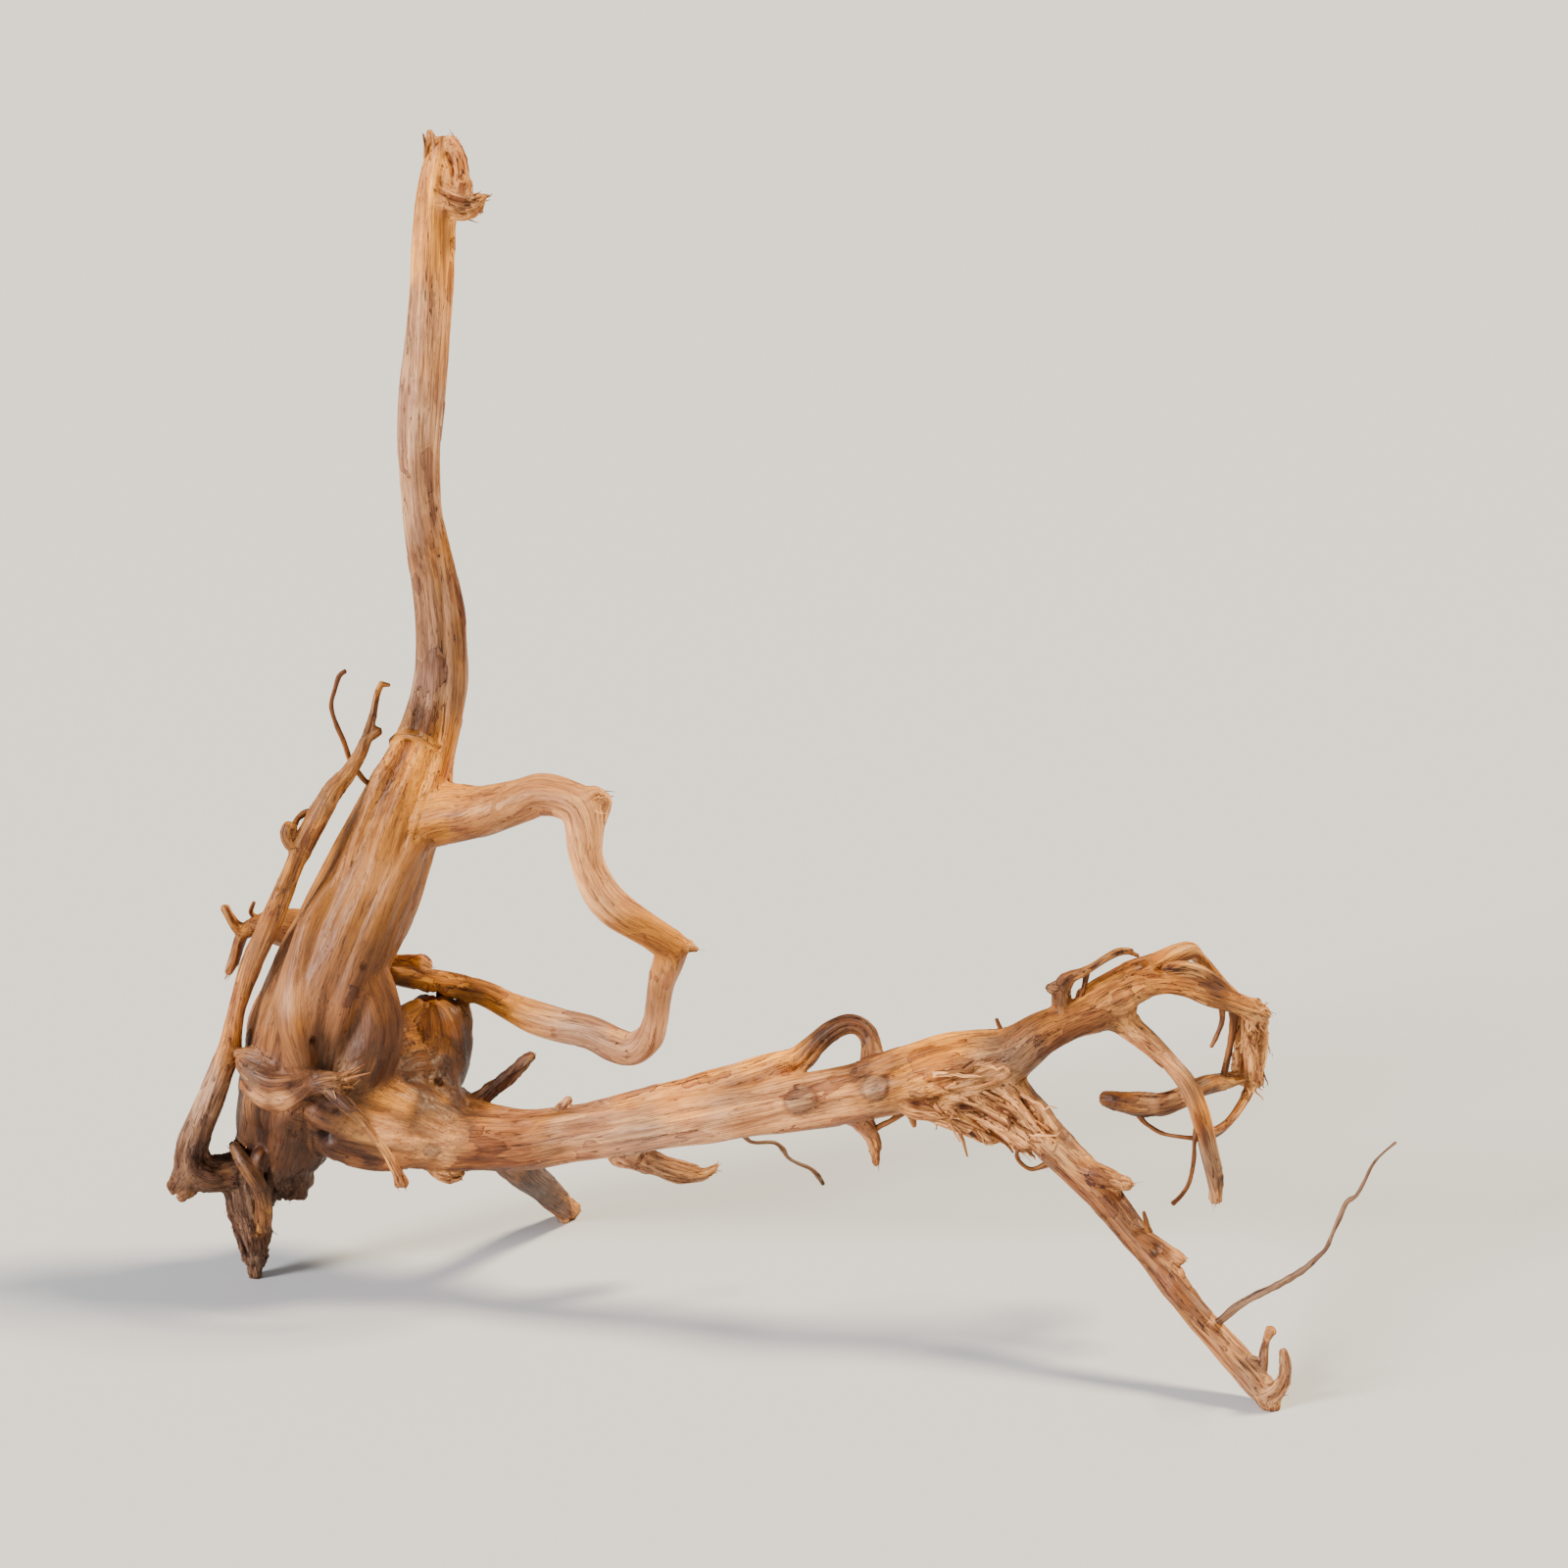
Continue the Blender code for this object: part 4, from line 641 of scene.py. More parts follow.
# A stain or painted spot of light or shade reaches twice as far in depth as across
SPOT_STRETCH = (1, 0.5, 1)

# How far the noises that don't follow the grain repeat in metres: the colour's slow drifts, the ragged
# edges of regions, of stains and of the painted light and shade, torn shreds, and the edges of scars
HONEY_DRIFT = (0.09, 0.09, 0.09)
ROSE_DRIFT = (0.07, 0.07, 0.07)
REGION_EDGES = (0.011, 0.011, 0.011)
STAIN_AND_SHADE_EDGES = (0.012, 0.012, 0.02)
TORN_SHREDS = (0.005, 0.005, 0.005)
SCAR_EDGES = (0.004, 0.004, 0.004)
TWIG_SHADES = (0.02, 0.02, 0.02)
TWIG_FURROWS = (0.0014, 0.0014, 0.012)

# The material's noises in the grain: repeat in metres, detail, distortion
GRAIN_NOISES = [
    ("fine", (0.0009, 0.0009, 0.024), 5.0, 0.0),
    ("medium", (0.0034, 0.0034, 0.070), 6.0, 0.4),
    ("blotch", (0.013, 0.013, 0.042), 7.0, 0.8),
    ("crack", (0.0060, 0.0060, 0.13), 4.0, 0.3),
    ("mottle", (0.0035, 0.0035, 0.0075), 6.0, 0.8),
]

# The lattice that the numpy noise is read off
NOISE_CELLS = 64
LATTICE = np.random.default_rng(5).uniform(-1, 1, (NOISE_CELLS, NOISE_CELLS, NOISE_CELLS))


def placed(stations):
    """Points and radii in metres of stations read off the front view."""
    across, down, depth, half_width = np.array(stations, float).T
    right = (across - DRAWING_CENTRE) * UNIT / EYE_DISTANCE
    up = (DRAWING_CENTRE - down) * UNIT / EYE_DISTANCE
    cos_pitch, sin_pitch = math.cos(EYE_PITCH), math.sin(EYE_PITCH)
    ray = np.stack([right, cos_pitch + up * sin_pitch, up * cos_pitch - sin_pitch], 1)
    eye = np.array([0, -EYE_DISTANCE * cos_pitch, CENTRE_HEIGHT + EYE_DISTANCE * sin_pitch])
    along = (depth * MM - eye[1]) / ray[:, 1]
    points = eye + ray * along[:, None] - np.array([*FOOTPRINT_CENTRE, 0])
    return points, half_width * UNIT * along / EYE_DISTANCE


def centre_of(station):
    """Where a place read off the front view is, in metres."""
    return placed([(*station, 1)])[0][0]


def spline_value(a, b, c, d, t):
    """Catmull-Rom value between b and c."""
    return 0.5 * (2 * b + (c - a) * t + (2 * a - 5 * b + 4 * c - d) * t * t + (3 * b - a - 3 * c + d) * t**3)


def unit(vectors):
    return vectors / np.maximum(np.linalg.norm(vectors, axis=-1, keepdims=True), 1e-12)


class Limb:
    """A smooth centreline with radii, and at each of its points a frame that turns as little as it can."""

    def __init__(self, name, stations, step=STEP):
        self.name = name
        points, radii = placed(stations)
        points = np.vstack([points[:1], points, points[-1:]])
        radii = np.concatenate([radii[:1], radii, radii[-1:]])
        route, widths = [], []
        for i in range(1, len(points) - 2):
            count = max(1, round(np.linalg.norm(points[i + 1] - points[i]) / step))
            for t in np.arange(count) / count:
                route.append(spline_value(*points[i - 1 : i + 3], t))
                width = spline_value(*radii[i - 1 : i + 3], t)
                widths.append(max(width, 0.8 * min(radii[i], radii[i + 1])))
        self.points = np.array([*route, points[-1]])
        self.radii = np.array([*widths, radii[-1]])
        last = len(self.points) - 1
        ahead = self.points[np.minimum(np.arange(last + 1) + 1, last)]
        behind = self.points[np.maximum(np.arange(last + 1) - 1, 0)]
        self.tangents = unit(ahead - behind)
        lengths = np.linalg.norm(np.diff(self.points, axis=0), axis=1)
        self.travelled = np.concatenate([[0], np.cumsum(lengths)])
        side = np.array([0, -1.0, 0]) - self.tangents[0] * -self.tangents[0][1]
        if np.linalg.norm(side) <= 0.1:
            side = np.cross(self.tangents[0], [1.0, 0, 0])
        self.sides = np.empty_like(self.points)
        for i, tangent in enumerate(self.tangents):
            side = unit(side - tangent * side.dot(tangent))
            self.sides[i] = side
        self.acrosses = np.cross(self.tangents, self.sides)

    def skin(self, count=SIDES):
        """Corners and faces of a closed, fluted tube with round ends."""
        lobes, depth, twist = FLUTED.get(self.name, PLAIN)
        angle = 2 * np.pi * np.arange(count) / count
        turn = (2 * np.pi * twist * self.travelled)[:, None]
        wave = np.cos(lobes * angle + turn) + 0.5 * np.cos((lobes - 2) * angle - 1.7 * turn + 1)
        reach = (self.radii[:, None] * (1 + depth * wave))[:, :, None]
        cosine, sine = np.cos(angle)[:, None], np.sin(angle)[:, None]
        spread = self.sides[:, None] * cosine + self.acrosses[:, None] * sine
        rings = self.points[:, None] + spread * reach
        bend = (np.pi / 2 * np.arange(1, CAP_RINGS + 1) / (CAP_RINGS + 0.5))[:, None, None]

        def rounded(end, way):
            shift = self.tangents[end] * way * CAP * self.radii[end] * np.sin(bend)
            return self.points[end] + (rings[end] - self.points[end]) * np.cos(bend) + shift

        rings = np.concatenate([rounded(0, -1)[::-1], rings, rounded(-1, 1)])
        corners = rings.reshape(-1, 3)
        row = np.arange(len(rings) - 1)[:, None] * count
        here, after = np.arange(count), (np.arange(count) + 1) % count
        quads = np.stack([row + here, row + after, row + count + after, row + count + here], 2).reshape(-1, 4)
        caps = [list(range(count))[::-1], list(range(len(corners) - count, len(corners)))]
        return corners, [*quads.tolist(), *caps]


def joined_mesh(name, skins):
    """One mesh of many closed skins."""
    corners, faces, start = [], [], 0
    for skin_corners, skin_faces in skins:
        corners.append(skin_corners)
        faces += [[corner + start for corner in face] for face in skin_faces]
        start += len(skin_corners)
    mesh = bpy.data.meshes.new(name)
    mesh.from_pydata(np.concatenate(corners).tolist(), [], faces)
    mesh.update()
    return mesh


def new_object(name, data):
    obj = bpy.data.objects.new(name, data)
    bpy.context.scene.collection.objects.link(obj)
    return obj


def apply_modifiers(obj):
    graph = bpy.context.evaluated_depsgraph_get()
    made = bpy.data.meshes.new_from_object(obj.evaluated_get(graph))
    obj.modifiers.clear()
    old, obj.data = obj.data, made
    bpy.data.meshes.remove(old)


def vectors_of(items, field):
    """A field of three numbers of each item."""
    found = np.empty(len(items) * 3, np.float32)
    items.foreach_get(field, found)
    return found.reshape(-1, 3).astype(float)


def corners_of(mesh):
    return vectors_of(mesh.vertices, "co")


def normals_of(mesh):
    return vectors_of(mesh.vertex_normals, "vector")


def noise(place_in, scales, shift=0.0):
    """Smooth value noise from -1 to 1, at points divided by scales."""
    p = place_in / np.asarray(scales) + shift
    cell = np.floor(p).astype(int)
    f = p - cell
    f = f * f * (3 - 2 * f)
    total = 0
    for i in (0, 1):
        for j in (0, 1):
            for k in (0, 1):
                weight = (f[:, 0] if i else 1 - f[:, 0]) * (f[:, 1] if j else 1 - f[:, 1])
                weight = weight * (f[:, 2] if k else 1 - f[:, 2])
                corner = (cell + (i, j, k)) % NOISE_CELLS
                total = total + weight * LATTICE[corner[:, 0], corner[:, 1], corner[:, 2]]
    return total


def layered(place_in, scales, layers=3, shift=0.0):
    """Noise with finer layers on top, each half as strong."""
    scales = np.asarray(scales, float)
    return sum(noise(place_in, scales / 2**i, shift + 9.7 * i) / 2**i for i in range(layers))


def away_from(centre, reach, skin, stretch=1):
    """How far points are from a centre, as a share of a reach in mm."""
    return np.linalg.norm((skin - centre) * stretch, axis=1) / (reach * MM)


def smooth_step(low, high, value):
    t = np.clip((value - low) / (high - low), 0, 1)
    return t * t * (3 - 2 * t)


class Skeleton:
    """All limbs' sample points, to ask which limb a point of the skin belongs to."""

    REACH = 0.03
    BLOCK = 0.03
    GRAIN_SHIFT = 0.41

    def __init__(self, limbs):
        self.limbs = limbs
        self.owner = np.repeat(np.arange(len(limbs)), [len(limb.points) for limb in limbs])
        for field in ("points", "radii", "tangents", "sides", "acrosses"):
            setattr(self, field, np.concatenate([getattr(limb, field) for limb in limbs]))
        shifted = [limb.travelled + self.GRAIN_SHIFT * i for i, limb in enumerate(limbs)]
        self.travelled = np.concatenate(shifted)
        twists = [FLUTED.get(limb.name, PLAIN)[2] for limb in limbs]
        self.turns = self.travelled * np.array(twists)[self.owner]
        self.roughness = np.array([ROUGHNESS.get(limb.name, 1.0) for limb in limbs])

    def nearest(self, skin):
        """The sample of the nearest limb and of the next one, and the distances to both limbs' skins."""
        first = np.zeros(len(skin), int)
        second = np.zeros(len(skin), int)
        gaps = np.full((len(skin), 2), 1.0)
        cells = np.floor(skin / self.BLOCK).astype(int)
        _, group = np.unique(cells, axis=0, return_inverse=True)
        group = group.reshape(-1)
        order = np.argsort(group, kind="stable")
        bounds = np.flatnonzero(np.diff(group[order], prepend=-1, append=group.max() + 1))
        for start, end in zip(bounds, bounds[1:]):
            rows = order[start:end]
            centre = (cells[rows[0]] + 0.5) * self.BLOCK
            apart = np.linalg.norm(self.points - centre, axis=1) - self.radii
            near = np.flatnonzero(apart < self.BLOCK + self.REACH)
            offset = skin[rows][:, None] - self.points[near]
            along = np.clip((offset * self.tangents[near]).sum(2), -STEP / 2, STEP / 2)
            foot = offset - self.tangents[near] * along[:, :, None]
            gap = np.linalg.norm(foot, axis=2) - self.radii[near]
            best = gap.argmin(1)
            first[rows] = near[best]
            gaps[rows, 0] = gap[np.arange(len(rows)), best]
            gap[self.owner[near][None] == self.owner[first[rows]][:, None]] = 1.0
            best = gap.argmin(1)
            second[rows] = near[best]
            gaps[rows, 1] = gap[np.arange(len(rows)), best]
        return first, second, gaps

    def grain(self, skin, sample):
        """Where points lie in a limb's grain: two coordinates across it, on its nominal skin, one along."""
        offset = skin - self.points[sample]
        a = (offset * self.sides[sample]).sum(1)
        b = (offset * self.acrosses[sample]).sum(1)
        along = (offset * self.tangents[sample]).sum(1)
        fit = self.radii[sample] / np.maximum(np.hypot(a, b), 0.35 * self.radii[sample])
        turn = 2 * np.pi * self.turns[sample]
        across = (a * np.cos(turn) - b * np.sin(turn)) * fit
        level = (a * np.sin(turn) + b * np.cos(turn)) * fit
        return np.stack([across, level, self.travelled[sample] + along], 1)

    def outward(self, skin, sample):
        offset = skin - self.points[sample]
        along = (offset * self.tangents[sample]).sum(1)
        return unit(offset - self.tangents[sample] * along[:, None])


def zone_weight(kind, skin, raggedness):
    """How strongly a kind of region covers each point, from 0 to 1."""
    total = np.zeros(len(skin))
    for *station, reach, strength in ZONES[kind]:
        away = away_from(centre_of(station), reach, skin)
        total = np.maximum(total, strength * smooth_step(1.15, 0.7, away + 0.22 * raggedness))
    return total


def patch_field(grain):
    """Where old bark still clings: over 0.5 inside a patch, under it outside."""
    field = layered(grain, PATCHES, 3, 15.1)
    return np.clip(0.5 + (field - 0.42) * 1.4, 0, 1)


def wood_relief(grain, radius, rough, zones):
    """Height in metres of the wood's skin over its smooth form."""
    thick, torn = np.minimum(radius, 0.03), zones["torn"]
    flutes = layered(grain, FLUTES, 2) * FLUTE_SHARE * thick
    lumps = layered(grain, LUMPS, 2, 3.3) * LUMP_SHARE * thick
    ridges = (0.5 - np.abs(noise(grain, RIDGES, 5.1))) * RIDGE_HEIGHT
    fine = noise(grain, FINE_RIDGES, 1.7) * FINE_RIDGE_HEIGHT
    groove = np.exp(-((noise(grain, GROOVES, 7.9) / 0.05) ** 2))
    groove = groove * smooth_step(0.0, 0.35, noise(grain, GROOVED_PLACES, 2.2)) * GROOVE_DEPTH
    patch = smooth_step(0.45, 0.55, patch_field(grain)) * PATCH_HEIGHT
    height = rough * (ridges + fine - groove) + patch
    height = flutes + lumps + height * (1 - 0.65 * zones["polish"]) * (1 - torn)
    knobs = layered(grain, KNOBS, 2, 11.2) * KNOB_SHARE * np.minimum(radius, 0.012)
    height = height + np.clip(rough - 0.8, 0, 1) * knobs
    plates = np.abs(layered(grain, BARK_PLATES, 3, 4.4))
    height = height + zones["bark"] * (plates * PLATE_HEIGHT - PLATE_SINK)
    shreds = layered(grain, SHREDS, 2, 6.2) * SHRED_HEIGHT
    shreds = shreds + (0.45 - np.abs(noise(grain, HAIRS, 8.8))) * HAIR_HEIGHT
    return height + torn * shreds * np.minimum(1, radius / 0.008)


def surface_spot(skin, station):
    """The point of the skin nearest to a station."""
    return skin[np.linalg.norm(skin - centre_of(station), axis=1).argmin()]


def mixed(colour, other, share):
    return colour + (np.asarray(other) - colour) * share[:, None]


def zone_weights(skin, skeleton, sample):
    ragged = layered(skin, REGION_EDGES, 3, 1.9)
    weights = {kind: zone_weight(kind, skin, ragged) for kind in ZONES}
    bare = np.array([limb.name in BARE_LIMBS for limb in skeleton.limbs])[skeleton.owner[sample]]
    weights["bark"] = weights["bark"] * np.where(bare, 0.15, 1.0)
    return weights


def blend_share(skeleton, first, second, gaps):
    """How far the next limb's grain shows at a point, up to a half at the seam."""
    width = np.clip(0.3 * np.minimum(skeleton.radii[first], skeleton.radii[second]), 0.0008, 0.006)
    apart = np.maximum(gaps[:, 1] - gaps[:, 0], 0)
    return 0.5 * np.exp(-((apart / (1.2 * width)) ** 2))


def blended(share, first, second, value_at):
    """A value of the nearest limb and of the next one, blended at their seam."""
    return value_at(first) * (1 - share) + value_at(second) * share


def relief_of(skeleton, skin, first, second, gaps, zones):
    def height(sample):
        rough = skeleton.roughness[skeleton.owner[sample]]
        return wood_relief(skeleton.grain(skin, sample), skeleton.radii[sample], rough, zones)

    return blended(blend_share(skeleton, first, second, gaps), first, second, height)


def fillet(skeleton, skin, first, second, gaps):
    """How far the skin moves out where two limbs meet, so that one flows into the other."""
    reach = np.clip(0.55 * np.minimum(skeleton.radii[first], skeleton.radii[second]), 0.0008, 0.012)
    near = np.clip((reach - np.abs(gaps[:, 1] - gaps[:, 0])) / reach, 0, 1)
    cross = 1 - (skeleton.outward(skin, first) * skeleton.outward(skin, second)).sum(1)
    return near**2 * reach * 0.3 * np.clip(cross, 0, 1)


def neighbour_mean(mesh, values):
    """Each vertex's mean over its neighbours."""
    edges = np.empty(len(mesh.edges) * 2, np.int32)
    mesh.edges.foreach_get("vertices", edges)
    a, b = edges.reshape(-1, 2).T
    count = np.bincount(a, minlength=len(values)) + np.bincount(b, minlength=len(values))
    total = []
    for column in values.reshape(len(values), -1).T:
        total.append(np.bincount(a, column[b], len(values)) + np.bincount(b, column[a], len(values)))
    return (np.stack(total, 1) / np.maximum(count, 1)[:, None]).reshape(values.shape)


def set_corners(mesh, skin):
    mesh.vertices.foreach_set("co", skin.astype(np.float32).ravel())
    mesh.update()


def sculpt(mesh, skeleton):
    """Rounds the seams and gives the skin its relief, knot holes and scars."""
    skin = corners_of(mesh)
    first, second, gaps = skeleton.nearest(skin)
    move = fillet(skeleton, skin, first, second, gaps)
    for _ in range(3):
        move = neighbour_mean(mesh, move)
    skin = skin + normals_of(mesh) * move[:, None]
    worn = zone_weight("worn", skin, np.zeros(len(skin)))[:, None]
    for _ in range(WORN_PASSES):
        skin = skin + (neighbour_mean(mesh, skin) - skin) * worn
    set_corners(mesh, skin)
    normals = normals_of(mesh)
    first, second, gaps = skeleton.nearest(skin)
    height = relief_of(skeleton, skin, first, second, gaps, zone_weights(skin, skeleton, first))
    for *station, radius, deep in HOLES:
        away = away_from(surface_spot(skin, station), radius, skin)
        height = height - deep * MM * np.exp(-(away**2) * 1.2)
        height = height + 0.22 * radius * MM * np.exp(-((away - 1.6) ** 2) * 4)
    rough = layered(skin, SCAR_EDGES, 2, 6.6)
    for *station, radius in SCARS:
        away = away_from(surface_spot(skin, station), radius, skin) + 0.3 * rough
        height = height + SCAR_HEIGHT * smooth_step(1.1, 0.9, away)
        height = height - SCAR_RIM * np.exp(-((away - 1.1) ** 2) * 60)
    set_corners(mesh, skin + normals * height[:, None])


def store(mesh, kind, **fields):
    """Keeps values at each vertex, for the material to read."""
    into = {"FLOAT": "value", "FLOAT_VECTOR": "vector", "FLOAT_COLOR": "color"}[kind]
    for name, values in fields.items():
        if kind == "FLOAT_COLOR":
            values = np.hstack([values, np.ones((len(values), 1))])
        values = np.broadcast_to(values, (len(mesh.vertices), *np.shape(values)[1:]))
        attribute = mesh.attributes.new(name, kind, "POINT")
        attribute.data.foreach_set(into, np.asarray(values, np.float32).ravel())


def bare_colour(skeleton, skin, first, second, share):
    """The wood's own colour: a slow drift between tones, and what sets each limb apart."""
    colour = np.tile(np.array(TAN), (len(skin), 1))
    drift = layered(skin, HONEY_DRIFT, 3, 4.1)
    colour = mixed(colour, HONEY, np.clip(0.22 + 0.5 * drift, 0, 1))
    drift = layered(skin, ROSE_DRIFT, 3, 12.7)
    colour = mixed(colour, ROSE, np.clip(0.1 + 0.55 * drift, 0, 1))
    tones = [LIMB_TONES.get(limb.name, (TAN, 0.0)) for limb in skeleton.limbs]
    limb_colours, limb_shares = (np.array(values) for values in zip(*tones))
    for sample, weight in ((first, 1 - share), (second, share)):
        owner = skeleton.owner[sample]
        colour = mixed(colour, limb_colours[owner], limb_shares[owner] * weight)
    return colour


def weathered_and_painted_light(colour, skin, normals, ragged, zones):
    """The colour with painted shade on its undersides, painted golden light on the side that faces the warm
    lamp, its stains, its spots of painted shade and highlight, its bark and its torn places.
    """
    # Painted shade: surfaces that face down are darkened towards umber
    colour = mixed(colour, UMBER, 0.5 * smooth_step(0.0, -0.8, normals[:, 2] + 0.15 * ragged))
    # Painted light: surfaces that face the warm lamp are brightened towards gold
    facing_warm_light = normals @ unit(np.array(WARM_LIGHT_SIDE))
    colour = mixed(colour, GOLD, 0.4 * smooth_step(0.35, 0.95, facing_warm_light + 0.2 * ragged))
    # Stains, and spots of painted shade, painted shadow and painted highlight
    for *station, reach, other, strength in STAINS_SHADE_AND_HIGHLIGHTS:
        away = away_from(centre_of(station), reach, skin, SPOT_STRETCH)
        colour = mixed(colour, other, strength * smooth_step(1.3, 0.4, away + 0.3 * ragged))
    colour = mixed(colour, BARK, 0.72 * zones["bark"])
    colour = mixed(colour, FIBRE, 0.5 * zones["torn"])
    shreds = layered(skin, TORN_SHREDS, 2, 7.4)
    return mixed(colour, UMBER, 0.5 * zones["torn"] * smooth_step(0.3, 0.9, shreds))


def hollows(mesh, skeleton, first, height):
    """How deep in a furrow or a crease each vertex lies, from 0 to 1, for the painted shade in hollows."""
    skin, normals = corners_of(mesh), normals_of(mesh)
    crease = ((neighbour_mean(mesh, skin) - skin) * normals).sum(1)
    for _ in range(5):
        crease = neighbour_mean(mesh, crease)
    thick = np.minimum(skeleton.radii[first], 0.03)
    low = smooth_step(0.2, -1.0, height / (0.0006 + 0.03 * thick))
    return 0.5 * low + 0.6 * smooth_step(0.00002, 0.0002, crease)


def paint(mesh, skeleton):
    """Keeps at each vertex its place in the grain, its colour with its painted light and shade, the painted
    shade of its hollows and its wear, for the material.
    """
    skin, normals = corners_of(mesh), normals_of(mesh)
    first, second, gaps = skeleton.nearest(skin)
    share = blend_share(skeleton, first, second, gaps)
    zones = zone_weights(skin, skeleton, first)
    ragged = layered(skin, STAIN_AND_SHADE_EDGES, 3, 8.3)
    colour = bare_colour(skeleton, skin, first, second, share)
    colour = weathered_and_painted_light(colour, skin, normals, ragged, zones)

    # Painted shade: darker in furrows, creases, knot holes and the grooves round the scars
    pit = hollows(mesh, skeleton, first, relief_of(skeleton, skin, first, second, gaps, zones))
    for *station, radius, _ in HOLES:
        away = away_from(surface_spot(skin, station), radius, skin)
        pit = np.maximum(pit, smooth_step(1.5, 0.7, away))
    scar = np.zeros(len(skin))
    for *station, radius in SCARS:
        away = away_from(surface_spot(skin, station), radius, skin) + 0.1 * ragged
        scar = np.maximum(scar, smooth_step(1.15, 0.9, away))
        pit = np.maximum(pit, 0.8 * smooth_step(1.35, 1.1, away) * smooth_step(0.8, 1.0, away))
    colour = mixed(colour, GREY, 0.6 * scar)

    def patch_at(sample):
        return patch_field(skeleton.grain(skin, sample))

    def roughness_at(sample):
        return skeleton.roughness[skeleton.owner[sample]]

    patch = blended(share, first, second, patch_at)
    patch = patch * (1 - 0.8 * zones["polish"]) * (1 - 0.5 * zones["torn"]) + 0.26 * zones["flaky"]
    rugged = blended(share, first, second, roughness_at) * (1 - 0.35 * zones["polish"])
    swap = skeleton.owner[first] > skeleton.owner[second]
    low, high = np.where(swap, second, first), np.where(swap, first, second)
    store(mesh, "FLOAT_VECTOR", grain1=skeleton.grain(skin, low), grain2=skeleton.grain(skin, high))
    wear = np.stack([zones["bark"], zones["torn"], zones["polish"]], 1)
    store(mesh, "FLOAT_COLOR", tone=colour, wear=np.clip(wear, 0, 1))
    store(mesh, "FLOAT", seam=np.where(swap, 1 - share, share), pit=np.clip(pit, 0, 1))
    store(mesh, "FLOAT", patch=patch, rugged=np.clip(0.35 + 0.6 * rugged, 0, 1.3))


def level_feet(mesh):
    """Cuts the feet flat just over the floor."""
    bm = bmesh.new()
    bm.from_mesh(mesh)
    everything = [*bm.verts, *bm.edges, *bm.faces]
    plane = (0, 0, GROUND_CLEARANCE)
    bmesh.ops.bisect_plane(bm, geom=everything, plane_co=plane, plane_no=(0, 0, -1), clear_outer=True)
    rim = [edge for edge in bm.edges if edge.is_boundary]
    bmesh.ops.holes_fill(bm, edges=rim, sides=0)
    bmesh.ops.triangulate(bm, faces=bm.faces)
    bm.to_mesh(mesh)
    bm.free()


def stout_wood(limbs, skeleton):
    wood = new_object("bogwood_wood", joined_mesh("bogwood_wood", [limb.skin() for limb in limbs]))
    fuse = wood.modifiers.new("fuse", "REMESH")
    fuse.mode = "VOXEL"
    fuse.voxel_size = VOXEL
    soften = wood.modifiers.new("soften", "SMOOTH")
    soften.factor = 0.5
    soften.iterations = 4
    apply_modifiers(wood)
    sculpt(wood.data, skeleton)
    thin = wood.modifiers.new("thin", "DECIMATE")
    thin.ratio = min(1, WOOD_TRIANGLES / (2 * len(wood.data.polygons)))
    apply_modifiers(wood)
    level_feet(wood.data)
    paint(wood.data, skeleton)
    return wood


def strands(skeleton, skin, normals, draw):
    """Corners, faces and grain of flat, tapering fibres rooted in the skin, each with its own curl."""
    all_corners, all_grain = [], []
    for *station, reach, count, longest, half_width, lift in FRAYS:
        away = np.linalg.norm(skin - centre_of(station), axis=1)
        near = np.flatnonzero(away < reach * MM)
        if not len(near):
            continue
        chosen = draw.choice(near, count)
        root, out = skin[chosen], normals[chosen]
        sample = skeleton.nearest(root)[0]
        heading = skeleton.tangents[sample] + draw.normal(0, 0.22, (count, 3))
        curl = draw.normal(0, 0.6, (count, 3))
        heading, curl = (way - 0.7 * out * (way * out).sum(1)[:, None] for way in (heading, curl))
        heading = unit(heading + out * lift)
        length = longest * MM * draw.uniform(0.2, 1.0, (count, 1)) ** 1.4
        t = np.linspace(0, 1, STRAND_POINTS)[None, :, None]
        wave = draw.normal(0, 0.035, (count, STRAND_POINTS, 3)) * t
        path = root[:, None] - out[:, None] * 0.0006 - heading[:, None] * 0.001
        path = path + length[:, None] * (heading[:, None] * t + curl[:, None] * t**2 * 0.45 + wave)
        ahead = unit(np.gradient(path, axis=1))
        side = unit(np.cross(ahead, out[:, None]))
        top = np.cross(side, ahead)
        taper = 1 - 0.72 * t**1.5
        wide = half_width * MM * draw.uniform(0.45, 1.6, (count, 1, 1)) * taper
        thick = np.minimum(wide, 0.00035 + 0.25 * wide)
        angle = 2 * np.pi * (np.arange(STRAND_SIDES) + 0.5) / STRAND_SIDES
        ring = path[:, :, None] + side[:, :, None] * (wide * np.cos(angle))[..., None]
        ring = ring + top[:, :, None] * (thick * np.sin(angle))[..., None]
        all_corners.append(ring.reshape(count, -1, 3))
        offset = draw.uniform(0, 3, (count, 1, 3))
        grain = np.stack([np.cos(angle) * 0.001, np.sin(angle) * 0.001, angle * 0], 1)[None, None]
        along = (t * length[:, None])[..., None] * np.array([0, 0, 1.0])
        all_grain.append((grain + along).reshape(count, -1, 3) + offset)
    corners, grain = np.concatenate(all_corners), np.concatenate(all_grain)
    row = np.arange(STRAND_POINTS - 1)[:, None] * STRAND_SIDES
    here, after = np.arange(STRAND_SIDES), (np.arange(STRAND_SIDES) + 1) % STRAND_SIDES
    quads = np.stack([row + here, row + after, row + STRAND_SIDES + after, row + STRAND_SIDES + here], 2)
    last = (STRAND_POINTS - 1) * STRAND_SIDES
    ends = [np.arange(STRAND_SIDES)[::-1], last + np.arange(STRAND_SIDES)]
    faces = np.concatenate([quads.reshape(-1, 4), ends])
    faces = faces[None] + (np.arange(len(corners)) * corners.shape[1])[:, None, None]
    return corners.reshape(-1, 3), faces.reshape(-1, 4), grain.reshape(-1, 3)


